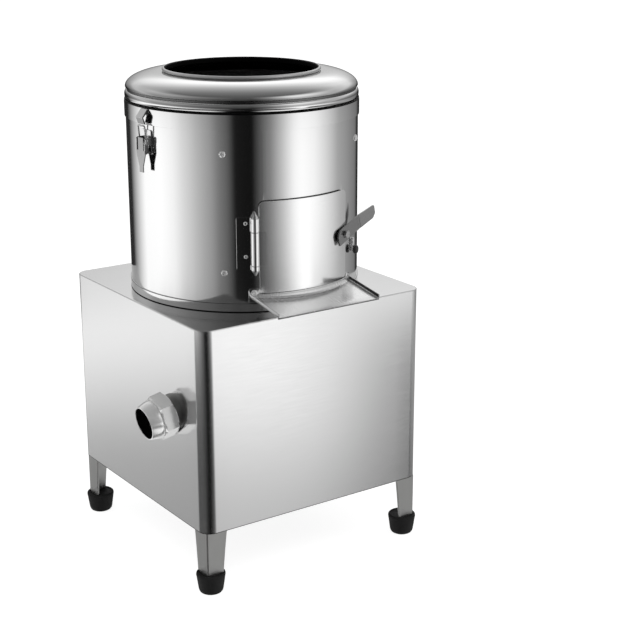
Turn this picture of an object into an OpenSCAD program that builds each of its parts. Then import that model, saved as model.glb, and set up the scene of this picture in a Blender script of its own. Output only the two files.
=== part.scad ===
// Potato peeling machine: a square cabinet on four legs carries a round peeling drum.
// The origin is on the floor, at the centre of the machine's outer box. +Z is up,
// the chute and the door face -Y, and the drain leaves on the -X side.
// Sizes are in millimetres. Heights called "above the top plate" start at top_z.

/* [Cabinet] */
// Width and depth of the square cabinet
cab_w = 450; // [430:5:500]
// Height of the cabinet
cab_h = 355; // [330:5:400]
// Radius of the cabinet's four upright corners
cab_corner_r = 22; // [12:1:30]
// Sheet thickness of the cabinet's walls
sheet_t = 1.5; // [1:0.25:2.5]
// Thickness of the plate on top of the cabinet
top_t = 2; // [1.5:0.25:3]

/* [Legs and feet] */
// Height of the cabinet's underside above the floor
leg_h = 114; // [90:1:180]
// Width of each side of the angle leg at its top
leg_w = 40; // [36:1:45]
// Width of each side of the angle leg at its foot
leg_foot_w = 30; // [28:1:32]
// Thickness of the angle leg
leg_t = 4; // [3:0.5:5]
// Distance from the cabinet's side to the leg's outer face
leg_inset = 5; // [3:1:18]
// Diameter of the rubber foot at its rim
foot_d = 50; // [49:1:60]
// Diameter of the rubber foot on the floor
foot_base_d = 36; // [30:1:44]
// Height of the rubber foot
foot_h = 37; // [30:1:45]
// Rubber between the leg's end and the floor
foot_floor = 12; // [8:1:16]

/* [Base frame] */
// Height of the frame's upright wall inside the cabinet
frame_h = 35; // [25:1:50]
// Width of the frame's flat flange
frame_flange_w = 45; // [42:1:55]
// Thickness of the frame
frame_t = 3; // [2:0.5:4]
// Diameter of the frame bolts
bolt_d = 8; // [6:1:10]

/* [Drum] */
// Outer diameter of the drum
drum_d = 401; // [390:1:425]
// Height of the drum above the top plate
drum_h = 330; // [320:1:400]
// Sheet thickness of the drum
drum_t = 1.5; // [1:0.25:2.5]
// Height of the ring round the drum's foot
base_ring_h = 16; // [10:1:18]
// Thickness of the ring round the drum's foot
base_ring_t = 1.5; // [1:0.25:3]

/* [Abrasive liner] */
// Thickness of the abrasive liner
liner_t = 6; // [4:0.5:8]
// Height of the liner's lower edge above the top plate
liner_low = 27; // [22:1:30]
// Distance from the drum's top edge to the liner's top edge
liner_top_gap = 24; // [15:1:40]
// Angle of the liner screws on each side of the front and the back
liner_screw_angle = 41.6; // [40:0.2:48]
// Height of the lower row of liner screws above the top plate
liner_screw_low = 67; // [50:0.5:90]
// Height of the upper row of liner screws above the top plate
liner_screw_high = 265; // [240:1:285]
// Head diameter of the drum's screws
screw_head_d = 11; // [8:1:12]
// Head height of the drum's screws
screw_head_h = 3; // [2:0.5:4]
// Shank diameter of the drum's screws
screw_d = 5; // [4:0.5:6]

/* [Waste pan] */
// Distance from the drum's outside to the pan's outside
pan_margin = 9.5; // [7.5:0.5:12]
// Depth of the pan below the top plate
pan_depth = 42; // [38:1:60]
// Sheet thickness of the pan
pan_t = 2; // [1.5:0.25:3]
// Width of the pan's rim that lies on the top plate
pan_rim_w = 6; // [4:0.5:7]

/* [Turntable] */
// Gap between the turntable's edge and the liner
turntable_gap = 6.5; // [4:0.5:9]
// Thickness of the turntable
turntable_t = 8; // [6:1:12]
// Height of the turntable's underside above the top plate
turntable_low = 15; // [12:1:17]
// Number of raised waves on the turntable
wave_count = 3; // [2:1:6]
// Height of each wave
wave_h = 9; // [5:1:12]
// Width of each wave at the turntable
wave_w = 44; // [30:1:60]
// Diameter of the turntable's hub
hub_d = 70; // [60:1:80]

/* [Main shaft and bearings] */
// Diameter of the main shaft
shaft_d = 30; // [25:1:35]
// Diameter of the threaded end on top of the shaft
shaft_end_d = 20; // [16:1:22]
// Outer diameter of the bearings
bearing_d = 62; // [58:1:64]
// Width of a bearing
bearing_w = 16; // [14:1:20]
// Outer diameter of the bearing housing
housing_d = 76; // [74:1:79]
// Length of the bearing housing
housing_l = 160; // [140:1:170]
// Height of the housing's top above the pan's floor
housing_rise = 30; // [25:1:33]
// Diameter of the housing's bolting flange
flange_d = 150; // [145:1:160]
// Thickness of the housing's bolting flange
flange_t = 10; // [8:1:14]
// Thickness of the shaft seal
seal_t = 7; // [5:0.5:8]
// Size of the square tubes that carry the housing
rail_w = 30; // [25:1:35]
// Distance from the shaft's centre to the middle of a tube
rail_y = 56; // [54:1:60]
// Wall of the square tubes
rail_t = 2.5; // [2:0.5:4]

/* [Belt drive] */
// Height of the belt's middle above the cabinet's underside
belt_level = 36; // [34:1:45]
// Diameter of the large pulley
driven_d = 196; // [180:2:206]
// Diameter of the motor's pulley
pinion_d = 76; // [66:2:80]
// Height of the belt
belt_w = 13; // [10:1:15]
// Thickness of the belt
belt_t = 8; // [6:1:10]
// Depth of the belt's outer face below the pulley's rim
belt_sink = 1.2; // [0.5:0.1:2]
// Height of the pulley rims
rim_w = 24; // [20:1:26]

/* [Motor] */
// Distance from the cabinet's right side to the motor's centre
motor_side = 125; // [118:1:130]
// Distance from the cabinet's back to the motor's centre
motor_back = 115; // [112:1:125]
// Diameter of the motor's frame
motor_d = 130; // [120:1:134]
// Length of the motor's frame
motor_l = 148; // [120:1:155]
// Width of the motor's flange beyond its fins
motor_flange_w = 15; // [15:0.5:17]
// Thickness of the motor's flange
motor_flange_t = 10; // [8:1:14]
// Number of cooling fins
fin_count = 24; // [12:1:36]
// Height of the cooling fins
fin_h = 5; // [3:0.5:7]
// Length of the fan cover
fan_cover_l = 34; // [28:1:40]
// Diameter of the motor's shaft
motor_shaft_d = 19; // [16:1:24]
// Thickness of the motor's bracket
bracket_t = 6; // [5:1:8]

/* [Drain] */
// Distance from the cabinet's middle to the drain, towards the front
drain_front = 126; // [110:1:128]
// Distance from the top plate down to the drain
drain_drop = 163; // [150:1:190]
// Slope of the drain pipe
drain_slope = 11; // [8:0.5:14]
// Outer diameter of the drain pipe
pipe_d = 60; // [56:1:60]
// Wall of the drain pipe
pipe_t = 3; // [2:0.5:4]
// Bend radius of the drain pipe
pipe_bend_r = 60; // [50:1:65]
// Size of the drain nut across its flats
nut_af = 68; // [66:1:74]
// Length of the drain nut
nut_l = 26; // [20:1:30]
// Length of the drain nozzle beyond the nut
nozzle_l = 22; // [18:1:35]
// Outer diameter of the nozzle at its mouth
nozzle_mouth_d = 58; // [57:0.5:60]

/* [Door] */
// Width of the door, straight across
door_w = 174; // [168:1:180]
// Height of the door's lower edge above the top plate
door_low = 33; // [32:1:36]
// Height of the door's top edge above the top plate
door_high = 188; // [180:1:200]
// Radius of the door's corners
door_corner_r = 9; // [4:1:14]
// Sheet thickness of the door
door_t = 1.5; // [1:0.25:2.5]
// Gap between the drum and the door's inner face
door_stand = 3.5; // [3:0.25:5]
// Overlap of the door beyond the drum's opening
door_lap = 9; // [8:0.5:10]
// Gap round the door's abrasive plug
plug_gap = 1.5; // [1.3:0.1:2.5]

/* [Door hinge] */
// Distance from the door's edge to the hinge pin, straight across
hinge_gap = 8; // [8:0.5:10]
// Distance from the drum's surface to the hinge pin
hinge_stand = 8; // [7.5:0.25:9]
// Diameter of the hinge barrel
barrel_d = 13; // [11:0.5:13.5]
// Diameter of the hinge pin
hinge_pin_d = 6; // [5:0.5:7]
// Height of the hinge's lower end above the top plate
hinge_low = 73; // [60:1:76]
// Height of the hinge's upper end above the top plate
hinge_high = 161; // [155:1:175]
// Height of the split below the upper knuckle
hinge_split = 138; // [125:1:145]
// Height of the lower knuckle
knuckle_low_h = 8; // [6:1:12]
// Height of the pointed caps on the pin
cap_h = 9; // [6:1:12]

/* [Door latch] */
// Distance from the door's edge to the latch pivot, straight across
latch_edge = 8; // [6:0.5:12]
// Height of the latch pivot above the top plate
latch_level = 112; // [105:1:120]
// Length of the lever on the far side of the pivot
lever_l = 93; // [80:1:110]
// Length of the lever on the near side of the pivot
lever_tail = 22; // [16:1:26]
// Distance from the pivot to the lever's bend
lever_bend = 46; // [35:1:60]
// Outward angle of the bend
lever_bend_angle = 6; // [0:1:15]
// Width of the lever
lever_w = 25; // [20:1:28]
// Thickness of the lever
lever_t = 3; // [2:0.5:4]
// Rise of the lever in its rest position
lever_rise = 16; // [0:1:18]
// Diameter of the latch bolt
latch_bolt_d = 8; // [6:1:10]
// Angle from the front to the keeper
keeper_angle = 35; // [33:0.5:38]
// Height of the keeper knob above the top plate
keeper_level = 75; // [70:1:78]
// Diameter of the keeper knob
knob_d = 15; // [12:1:18]

/* [Chute] */
// Width of the chute
chute_w = 204; // [200:1:220]
// Distance from the drum's front to the chute's lip
chute_out = 63.5; // [45:0.5:90]
// Height of the chute's back edge above the top plate
chute_back_h = 27; // [25:1:28]
// Slope of the chute
chute_slope = 9; // [6:0.5:10]
// Sheet thickness of the chute
chute_t = 1.5; // [1:0.25:2.5]
// Height of the chute's side flanges
chute_flange_h = 6; // [4:0.5:6.5]

/* [Lid] */
// Distance that the foot of the lid's dome stands out from the drum
lid_over = 1.5; // [1:0.25:3]
// Width of the flat shelf between the dome and the filling mouth
shelf_w = 14; // [6:1:30]
// Height of the dome above its foot
dome_h = 31; // [26:1:42]
// Radial width of the domed shoulder
dome_w = 54; // [40:1:58]
// Height of the bead round the lid's lower edge
bead_h = 9; // [7:0.5:11]
// Height of the groove between the bead and the dome
groove_h = 5; // [4:0.5:8]
// Sheet thickness of the lid
lid_t = 2; // [1.5:0.25:2.5]
// Height of the filling mouth's collar below its rolled edge
collar_h = 0.5; // [0.5:0.5:6]
// Diameter of the rolled edge on the collar
roll_d = 5.5; // [4.5:0.5:8]
// Height of the lid's skirt round the drum
skirt_h = 28; // [24:1:36]
// Thickness of the skirt
skirt_t = 1.5; // [1:0.25:2]

/* [Toggle latches] */
// Angle from the front to each toggle latch
toggle_angle = 84; // [75:1:95]
// Distance from the drum's top edge down to the lever's pivot
toggle_drop = 52; // [48:1:70]
// Distance from the drum's surface to the lever's pivot
toggle_stand = 8.5; // [8:0.25:10]
// Length of the lever below its pivot
toggle_l = 54; // [50:1:80]
// Width of the lever at its widest
toggle_w = 24.6; // [22:0.2:28]
// Distance from the lever's pivot down to the wire's pivot
toggle_throw = 13; // [10:0.5:14]
// Diameter of the wire bail
wire_d = 3; // [2.5:0.25:3.5]
// Width of the lid's catch
catch_w = 18; // [12:1:18]

/* [Controls] */
// Height of the buttons below the top plate
switch_drop = 80; // [70:1:120]
// Distance between the two buttons
button_pitch = 44; // [36:1:50]
// Diameter of a button
button_d = 22; // [18:1:26]
// Height of a button above its plate
button_h = 9; // [7:0.5:12]
// Travel of a button
button_travel = 4; // [3:0.5:5]
// Thickness of the switch plate
switch_plate_t = 2; // [1.5:0.25:3]
// Bore of the cable gland
gland_bore_d = 9; // [6:0.5:12]
// Length of the cable gland outside the cabinet
gland_l = 24; // [20:1:30]

/* [Hidden] */
$fn = 96;

// Clearances
run_fit = 0.05;     // shaft or pin in its bore, on the radius
slip_fit = 0.3;     // between pieces that move past each other
seat_fit = 0.2;     // between pieces that are assembled and stay put
cut = 1;            // extra depth of a cutting body

// Main levels and radii
top_z = leg_h + cab_h;
drum_r = drum_d / 2;
drum_in_r = drum_r - drum_t;
drum_top_z = top_z + drum_h;
wall_x = cab_w / 2;
wall_in_x = wall_x - sheet_t;

// Pan, shaft and turntable levels
pan_r = drum_r - pan_margin;
pan_floor_z = top_z - pan_depth;
pan_under_z = pan_floor_z - pan_t;
turntable_z = top_z + turntable_low;
turntable_top_z = turntable_z + turntable_t;
housing_top_z = pan_floor_z + housing_rise;
seal_top_z = housing_top_z + seal_t;
hub_gap = 2;
rail_low_z = pan_under_z - rail_w;
flange_bolt_r = flange_d / 2 - 11;

// Belt drive and motor
nut_d = 1.85 * bolt_d;
motor_flange_d = motor_d + 2 * motor_flange_w;
motor_x = wall_x - motor_side;
motor_y = wall_x - motor_back;
belt_z = leg_h + belt_level;
belt_out_driven = driven_d / 2 - belt_sink;
belt_out_pinion = pinion_d / 2 - belt_sink;
bracket_z = belt_z + rim_w / 2 + 8;
motor_z = bracket_z + bracket_t;
motor_body_z = motor_z + motor_flange_t;
fan_cover_z = motor_body_z + motor_l;
motor_core_r = motor_d / 2 - fin_h;
motor_bolt_r = motor_core_r + nut_d / 2 + 2;
spigot_d = 1.5 * motor_core_r;
end_shield_h = 2.2 * bolt_d + 4;
slot_pitch = motor_d / 9;
slot_w = slot_pitch * 0.45;
slot_l = motor_d / 2;
leg_bolt_room = 2.4 * bolt_d;
terminal_w = motor_d * 0.43;
terminal_h = motor_d * 0.48;
terminal_out = motor_d * 0.2;
bracket_x = wall_x - frame_flange_w + 11;
bracket_span = motor_flange_d / 2 + 2;

// Drain, whose inlet lies as far out in the pan as its wall allows
pipe_r = pipe_d / 2;
pipe_bore_r = pipe_r - pipe_t;
outlet_r = pan_r - pan_t - pipe_bore_r - 0.6;
outlet_side = sqrt(outlet_r * outlet_r - drain_front * drain_front);
drain_z = top_z - drain_drop;
bend_end_x = outlet_side + pipe_bend_r * (1 - sin(drain_slope));
bend_end_z = drain_z + (wall_x - bend_end_x) * tan(drain_slope);
bend_z = bend_end_z + pipe_bend_r * cos(drain_slope);
nut_start = nut_af / sqrt(3) * tan(drain_slope) + 0.6;
nozzle_start = nut_start + nut_l;
nozzle_end = nozzle_start + nozzle_l;

// Door and hinge
door_in_r = drum_r + door_stand;
door_out_r = door_in_r + door_t;
open_half_w = door_w / 2 - door_lap;
open_corner_r = 6;
seal_inset = 1.5;
open_low = door_low + door_lap - 1;
open_high = door_high - door_lap;
plug_half_w = open_half_w - plug_gap;
liner_out_r = drum_in_r - 0.5;
liner_in_r = liner_out_r - liner_t;
turntable_r = liner_in_r - turntable_gap;
hinge_side = door_w / 2 + hinge_gap;
hinge_r = drum_r + hinge_stand;
hinge_angle = asin(hinge_side / hinge_r);
hinge_y = hinge_r * cos(hinge_angle);
leaf_t = 1.5;
hinge_web = barrel_d / 2;       // thickness of the web between a knuckle and its leaf
hinge_screw_angle = asin((hinge_side + hinge_web / 2 + screw_head_d / 2 + 0.5) / drum_r);

// Latch
latch_angle = asin((door_w / 2 - latch_edge) / door_out_r);
lever_in_r = door_out_r + 2.5;
keeper_h = 9;

// Chute
chute_screw_h = chute_back_h + screw_head_d / 2 + 0.7;
chute_reach = drum_r + chute_out;
chute_back_y = sqrt(drum_r * drum_r - chute_w * chute_w / 4);

// Lid
lid_z = drum_top_z + slip_fit;
groove_z = lid_z + bead_h;
dome_z = groove_z + groove_h;
lid_r = drum_r + lid_over;
mouth_r = lid_r - dome_w - shelf_w;
skirt_in_r = drum_r + 0.5;
skirt_out_r = skirt_in_r + skirt_t;
arc_steps = 12;

// Toggle latches
toggle_z = drum_top_z - toggle_drop;
toggle_r = drum_r + toggle_stand;
bail_low_z = toggle_z - toggle_throw;
bail_low_r = toggle_r - 2;
bail_top_z = drum_top_z - skirt_h - wire_d / 2 + 1;
bail_top_r = toggle_r + 1.5;
cheek_t = 1.3;
plate_t = 1.5;
toggle_pin_d = 3;
bail_half_w = toggle_w / 2 - cheek_t - slip_fit - wire_d / 2;
catch_low_z = bail_top_z + wire_d / 2 + 1;

// Controls
switch_z = top_z - switch_drop;
switch_plate_w = button_pitch + button_d + 24;
switch_plate_h = button_d + 34;
switch_box_w = 2 * (rail_y - rail_w / 2 - 1);   // fits between the square tubes
switch_box_d = 38;
stem_d = 10;
gland_z = leg_h + 90;
gland_x = -60;
gland_hex = 27;
gland_thread_d = 20;

// The drum's axis in the machine's outer box, which holds the drain and the chute
drain_reach = wall_x + nozzle_end * cos(drain_slope) + nozzle_mouth_d / 2 * sin(drain_slope);
right_reach = wall_x + switch_plate_t + button_h;
back_reach = wall_x + gland_l;
axis_x = (drain_reach - right_reach) / 2;
axis_y = (chute_reach - back_reach) / 2;

// Colours
steel = [0.80, 0.80, 0.80];
satin = [0.72, 0.72, 0.72];
dark_steel = [0.45, 0.46, 0.47];
rubber = [0.06, 0.06, 0.06];
grit = [0.22, 0.22, 0.22];

// Moves a piece that is drawn round the drum's axis to its place
module on_axis() translate([axis_x, axis_y, 0]) children();

// Turns a piece drawn at the front (-Y) to an angle round the drum
module at_angle(a) rotate([0, 0, a]) children();

// A square with round corners
module rounded_square(w, r) {
    square([w - 2 * r, w], center = true);
    square([w, w - 2 * r], center = true);
    for (sx = [-1, 1], sy = [-1, 1])
        translate([sx * (w / 2 - r), sy * (w / 2 - r)]) circle(r);
}

// A rectangle with round corners
module rounded_rect(w, h, r) {
    square([w - 2 * r, h], center = true);
    square([w, h - 2 * r], center = true);
    for (sx = [-1, 1], sy = [-1, 1])
        translate([sx * (w / 2 - r), sy * (h / 2 - r)]) circle(r);
}

// A plain tube
module tube(r_out, r_in, h) {
    difference() {
        cylinder(r = r_out, h = h, $fn = round_fn(r_out));
        translate([0, 0, -cut]) cylinder(r = r_in, h = h + 2 * cut, $fn = round_fn(r_out));
    }
}

// Finer steps for circles as large as the drum
function round_fn(r) = r > 150 ? 360 : 96;

// Solid cylinder as large as the drum, for cutting what lies against it
module drum_cut(r, z, h) translate([0, 0, z]) cylinder(r = r, h = h, $fn = 360);

// A body that stretches towards the front from the drum's axis, with a round-cornered outline
module front_block(half_w, z_low, z_high, r) {
    translate([0, 0, (z_low + z_high) / 2]) rotate([90, 0, 0])
        linear_extrude(drum_r * 1.4) rounded_rect(2 * half_w, z_high - z_low, r);
}

// A hexagon bolt along +Z, head down at z = 0, nut at the far side of the grip
module hex_bolt(d, grip) {
    head_h = 0.65 * d;
    translate([0, 0, -head_h]) cylinder(d = nut_d, h = head_h, $fn = 6);
    translate([0, 0, -head_h / 2]) cylinder(d = d, h = grip + 1.8 * d);
    translate([0, 0, grip]) cylinder(d = nut_d, h = 0.8 * d, $fn = 6);
}

// A round screw head and shank that stands out of a surface towards -Y
module drum_screw(r, inner) {
    rotate([90, 0, 0]) {
        translate([0, 0, inner]) cylinder(d = screw_d, h = r - inner + 0.5);
        translate([0, 0, r]) intersection() {
            cylinder(d = screw_head_d, h = screw_head_h);
            translate([0, 0, screw_head_h - screw_head_d * 0.75]) sphere(screw_head_d * 0.75);
        }
    }
}

// ---- Cabinet ----

module cabinet_shell() on_axis() color(satin)
    difference() {
        translate([0, 0, leg_h]) linear_extrude(cab_h - top_t) difference() {
            rounded_square(cab_w, cab_corner_r);
            rounded_square(cab_w - 2 * sheet_t, cab_corner_r - sheet_t);
        }
        drain_line(pipe_r + seat_fit, -pipe_r, pipe_r);
        for (s = [-1, 1]) translate([wall_in_x - cut, s * button_pitch / 2, switch_z])
            rotate([0, 90, 0]) cylinder(r = stem_d / 2 + slip_fit, h = sheet_t + 2 * cut);
        translate([gland_x, wall_x + cut, gland_z]) rotate([90, 0, 0])
            cylinder(r = gland_thread_d / 2 + seat_fit, h = sheet_t + 2 * cut);
    }

module cabinet_top() on_axis() color(satin)
    translate([0, 0, top_z - top_t]) linear_extrude(top_t) difference() {
        rounded_square(cab_w, cab_corner_r);
        circle(pan_r + seat_fit);
    }

module base_frame() on_axis() color(dark_steel)
    difference() {
        translate([0, 0, leg_h]) union() {
            frame_out = cab_w - 2 * sheet_t - 2 * seat_fit;
            linear_extrude(frame_h) difference() {
                rounded_square(frame_out, cab_corner_r - sheet_t);
                rounded_square(frame_out - 2 * frame_t, cab_corner_r - sheet_t - frame_t);
            }
            linear_extrude(frame_t) difference() {
                rounded_square(frame_out, cab_corner_r - sheet_t);
                square(frame_out - 2 * frame_flange_w, center = true);
            }
        }
        at_legs() translate([leg_w / 2, leg_w / 2, leg_h - cut])
            cylinder(d = bolt_d + 0.6, h = frame_t + 2 * cut);
    }

// ---- Legs and feet ----

// Places a leg that is drawn from its outer corner towards +X and +Y
module at_leg(k) rotate([0, 0, 90 * k])
    translate([leg_inset - wall_x, leg_inset - wall_x, 0]) children();
module at_legs() for (k = [0:3]) at_leg(k) children();

// Width of the leg's side at height z
function leg_side_w(z) = leg_foot_w + (leg_w - leg_foot_w) * (z - foot_floor) / (leg_h - foot_floor);

module leg(k) on_axis() color(dark_steel) at_leg(k)
    difference() {
        union() {
            for (m = [0, 1]) mirror([m, -m, 0]) translate([0, leg_t, 0]) rotate([90, 0, 0])
                linear_extrude(leg_t) polygon([[0, foot_floor], [leg_foot_w, foot_floor],
                    [leg_w, leg_h], [0, leg_h]]);
            translate([0, 0, leg_h - leg_t]) cube([leg_w, leg_w, leg_t]);
        }
        translate([leg_w / 2, leg_w / 2, leg_h - leg_t - cut])
            cylinder(d = bolt_d + 0.6, h = leg_t + 2 * cut);
    }

module foot(k) on_axis() color(rubber) at_leg(k)
    difference() {
        translate([leg_foot_w / 2, leg_foot_w / 2, 0]) rotate_extrude()
            polygon([[0, 0], [foot_base_d / 2 - 4, 0], [foot_base_d / 2 - 1, 1.5], [foot_base_d / 2 + 1, 5],
                [foot_d / 2 - 1, foot_h - 8], [foot_d / 2, foot_h - 4], [foot_d / 2 - 1, foot_h - 1],
                [foot_d / 2 - 3, foot_h], [0, foot_h]]);
        translate([-seat_fit, -seat_fit, foot_floor]) linear_extrude(foot_h) union() {
            square([leg_side_w(foot_h) + 2 * seat_fit, leg_t + 2 * seat_fit]);
            square([leg_t + 2 * seat_fit, leg_side_w(foot_h) + 2 * seat_fit]);
        }
    }

module front_left_leg() leg(0);
module front_right_leg() leg(1);
module rear_right_leg() leg(2);
module rear_left_leg() leg(3);
module front_left_foot() foot(0);
module front_right_foot() foot(1);
module rear_right_foot() foot(2);
module rear_left_foot() foot(3);

// Bolts of the legs, the bearing housing and the motor
module frame_bolts() on_axis() color(steel) {
    at_legs() translate([leg_w / 2, leg_w / 2, leg_h - leg_t]) hex_bolt(bolt_d, leg_t + frame_t);
    at_housing_bolts() translate([0, 0, rail_low_z - flange_t]) hex_bolt(bolt_d, flange_t + rail_t);
    at_motor_bolts() translate([0, 0, bracket_z]) hex_bolt(bolt_d, bracket_t + motor_flange_t);
}

// ---- Drum ----

module drum_shell() on_axis() color(steel)
    difference() {
        translate([0, 0, top_z]) tube(drum_r, drum_in_r, drum_h);
        front_block(open_half_w, top_z + open_low, top_z + open_high, open_corner_r);
        at_liner_screws() screw_hole();
        at_chute_screws() screw_hole();
        at_hinge_screws() screw_hole();
        at_keeper() screw_hole();
    }

module drum_base_ring() on_axis() color(steel)
    translate([0, 0, top_z]) tube(drum_r + base_ring_t, drum_r, base_ring_h);

module abrasive_liner() on_axis() color(grit)
    difference() {
        translate([0, 0, top_z + liner_low])
            tube(liner_out_r, liner_in_r, drum_h - liner_low - liner_top_gap);
        front_block(open_half_w, top_z + open_low, top_z + open_high, open_corner_r);
        at_liner_screws() screw_hole();
        at_chute_screws() screw_hole();
        at_hinge_screws() screw_hole();
        at_keeper() screw_hole();
    }

// Clearance hole for a drum screw, through both the drum and its liner
module screw_hole() rotate([90, 0, 0])
    translate([0, 0, liner_in_r - 2 * cut]) cylinder(r = screw_d / 2 + seat_fit, h = liner_t + drum_t + 6);

module at_liner_screws()
    for (a = [liner_screw_angle, 180 - liner_screw_angle], s = [-1, 1])
        for (h = [liner_screw_low, liner_screw_high])
        at_angle(s * a) translate([0, 0, top_z + h]) children();

module at_chute_screws()
    for (s = [-1, 1]) at_angle(s * asin((chute_w / 2 - 9) / drum_r))
        translate([0, 0, top_z + chute_screw_h]) children();

module at_hinge_screws()
    for (h = [hinge_low + 22, hinge_split + 13]) at_angle(-hinge_screw_angle)
        translate([0, 0, top_z + h]) children();

module at_keeper() at_angle(keeper_angle) translate([0, 0, top_z + keeper_level]) children();

module drum_screws() on_axis() color(steel) {
    at_liner_screws() drum_screw(drum_r, liner_in_r + 1);
    at_chute_screws() drum_screw(drum_r + seat_fit + chute_t, drum_in_r - 2);
    at_hinge_screws() drum_screw(drum_r + leaf_t, drum_in_r - 2);
}

// ---- Waste pan under the turntable ----

module waste_pan() on_axis() color(satin)
    difference() {
        union() {
            translate([0, 0, pan_under_z]) cylinder(r = pan_r, h = top_z - pan_under_z);
            translate([0, 0, top_z]) cylinder(r = pan_r + pan_rim_w, h = pan_t);
        }
        translate([0, 0, pan_floor_z]) cylinder(r = pan_r - pan_t, h = pan_depth + pan_t + cut);
        translate([0, 0, pan_under_z - cut]) cylinder(r = housing_d / 2 + seat_fit, h = pan_t + 2 * cut);
        translate([-outlet_side, -drain_front, pan_under_z - cut])
            cylinder(r = pipe_bore_r, h = pan_t + 2 * cut);
    }

// ---- Turntable, shaft and bearings ----

module turntable() on_axis() color(grit)
    difference() {
        union() {
            translate([0, 0, turntable_z]) cylinder(r = turntable_r, h = turntable_t);
            translate([0, 0, seal_top_z + hub_gap])
                cylinder(d = hub_d, h = turntable_z - seal_top_z - hub_gap + 1);
            for (k = [0:wave_count - 1]) at_angle(360 / wave_count * (k + 0.5)) wave();
        }
        translate([0, 0, seal_top_z])
            cylinder(r = shaft_d / 2 + run_fit, h = turntable_top_z - seal_top_z - 3);
        translate([0, 0, seal_top_z]) cylinder(r = shaft_end_d / 2 + run_fit, h = drum_h);
    }

// A rounded ridge along a radius of the turntable
module wave() {
    wave_r = (wave_h * wave_h + wave_w * wave_w / 4) / (2 * wave_h);
    inner = hub_d / 2 + 12;
    length = turntable_r - inner - 10;
    intersection() {
        translate([0, -inner, turntable_top_z + wave_h - wave_r]) rotate([90, 0, 0])
            cylinder(r = wave_r, h = length);
        translate([-wave_w, -turntable_r, turntable_z + 1]) cube([2 * wave_w, turntable_r, 60]);
    }
}

module turntable_nut() on_axis() color(steel)
    translate([0, 0, turntable_top_z]) difference() {
        union() {
            cylinder(r = shaft_end_d / 2 + 9, h = 3);
            translate([0, 0, 3]) cylinder(r = shaft_end_d / 2 + 7, h = 12, $fn = 6);
            translate([0, 0, 15]) cylinder(r = shaft_end_d / 2 + 2, h = 6);
        }
        translate([0, 0, -cut]) cylinder(r = shaft_end_d / 2 + run_fit, h = 12 + cut);
    }

shaft_low_z = belt_z - rim_w / 2 - 4;
module main_shaft() on_axis() color(steel) {
    translate([0, 0, shaft_low_z])
        cylinder(d = shaft_d, h = turntable_top_z - 3.2 - shaft_low_z);
    translate([0, 0, turntable_top_z - 4]) cylinder(d = shaft_end_d, h = 14);
}

module bearing_housing() on_axis() color(dark_steel)
    difference() {
        union() {
            translate([0, 0, housing_top_z - housing_l]) cylinder(d = housing_d, h = housing_l);
            translate([0, 0, rail_low_z - flange_t]) cylinder(d = flange_d, h = flange_t);
        }
        translate([0, 0, housing_top_z - housing_l - cut])
            cylinder(r = shaft_d / 2 + 4, h = housing_l + 2 * cut);
        for (z = [housing_top_z - housing_l - cut, housing_top_z - bearing_w])
            translate([0, 0, z]) cylinder(d = bearing_d, h = bearing_w + cut);
        at_housing_bolts() translate([0, 0, rail_low_z - flange_t - cut])
            cylinder(d = bolt_d + 0.6, h = flange_t + 2 * cut);
    }

// Four bolts that hold the housing's flange under the square tubes
module at_housing_bolts() {
    bolt_x = sqrt(flange_bolt_r * flange_bolt_r - rail_y * rail_y);
    for (sx = [-1, 1], sy = [-1, 1]) translate([sx * bolt_x, sy * rail_y, 0]) children();
}

module shaft_bearings() on_axis() color(steel)
    for (z = [housing_top_z - housing_l, housing_top_z - bearing_w])
        translate([0, 0, z]) difference() {
            tube(bearing_d / 2 - 0.01, shaft_d / 2 + run_fit, bearing_w);
            for (face = [-cut, bearing_w - 2]) translate([0, 0, face])
                tube(bearing_d / 2 - 5, shaft_d / 2 + 5, 2 + cut);
        }

module shaft_seal() on_axis() color(rubber)
    translate([0, 0, housing_top_z]) difference() {
        union() {
            cylinder(d = housing_d, h = seal_t - 3);
            cylinder(r = shaft_d / 2 + 8, h = seal_t);
        }
        translate([0, 0, -cut]) cylinder(r = shaft_d / 2 + run_fit, h = seal_t + 2 * cut);
    }

// Two square tubes across the cabinet, under the pan
module support_rails() on_axis() color(dark_steel)
    for (s = [-1, 1]) difference() {
        translate([-wall_in_x, s * rail_y - rail_w / 2, rail_low_z]) cube([2 * wall_in_x, rail_w, rail_w]);
        translate([-wall_in_x - cut, s * rail_y - rail_w / 2 + rail_t, rail_low_z + rail_t])
            cube([2 * wall_in_x + 2 * cut, rail_w - 2 * rail_t, rail_w - 2 * rail_t]);
        at_housing_bolts() translate([0, 0, rail_low_z - cut])
            cylinder(d = bolt_d + 0.6, h = rail_t + 2 * cut);
    }

// ---- Belt drive ----

// A belt pulley whose groove fits the belt
module pulley(d, bore_r, hub_r, hub_h) {
    r = d / 2;
    groove_r = r - belt_sink - belt_t - 0.3;
    groove_half = belt_w / 2 + 0.3;
    rim_r = groove_r - 7;
    translate([0, 0, belt_z]) rotate_extrude() polygon(concat(
        [[bore_r, -hub_h / 2], [hub_r, -hub_h / 2]],
        rim_r > hub_r + 6 ? [[hub_r, -4], [rim_r, -4], [rim_r, -rim_w / 2]] : [[hub_r, -rim_w / 2]],
        [[r, -rim_w / 2], [r, -groove_half], [groove_r, -groove_half], [groove_r, groove_half],
            [r, groove_half], [r, rim_w / 2]],
        rim_r > hub_r + 6 ? [[rim_r, rim_w / 2], [rim_r, 4], [hub_r, 4]] : [[hub_r, rim_w / 2]],
        [[hub_r, hub_h / 2], [bore_r, hub_h / 2]]));
}

module driven_pulley() on_axis() color(dark_steel)
    pulley(driven_d, shaft_d / 2 + run_fit, shaft_d / 2 + 12, rim_w + 8);

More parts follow.
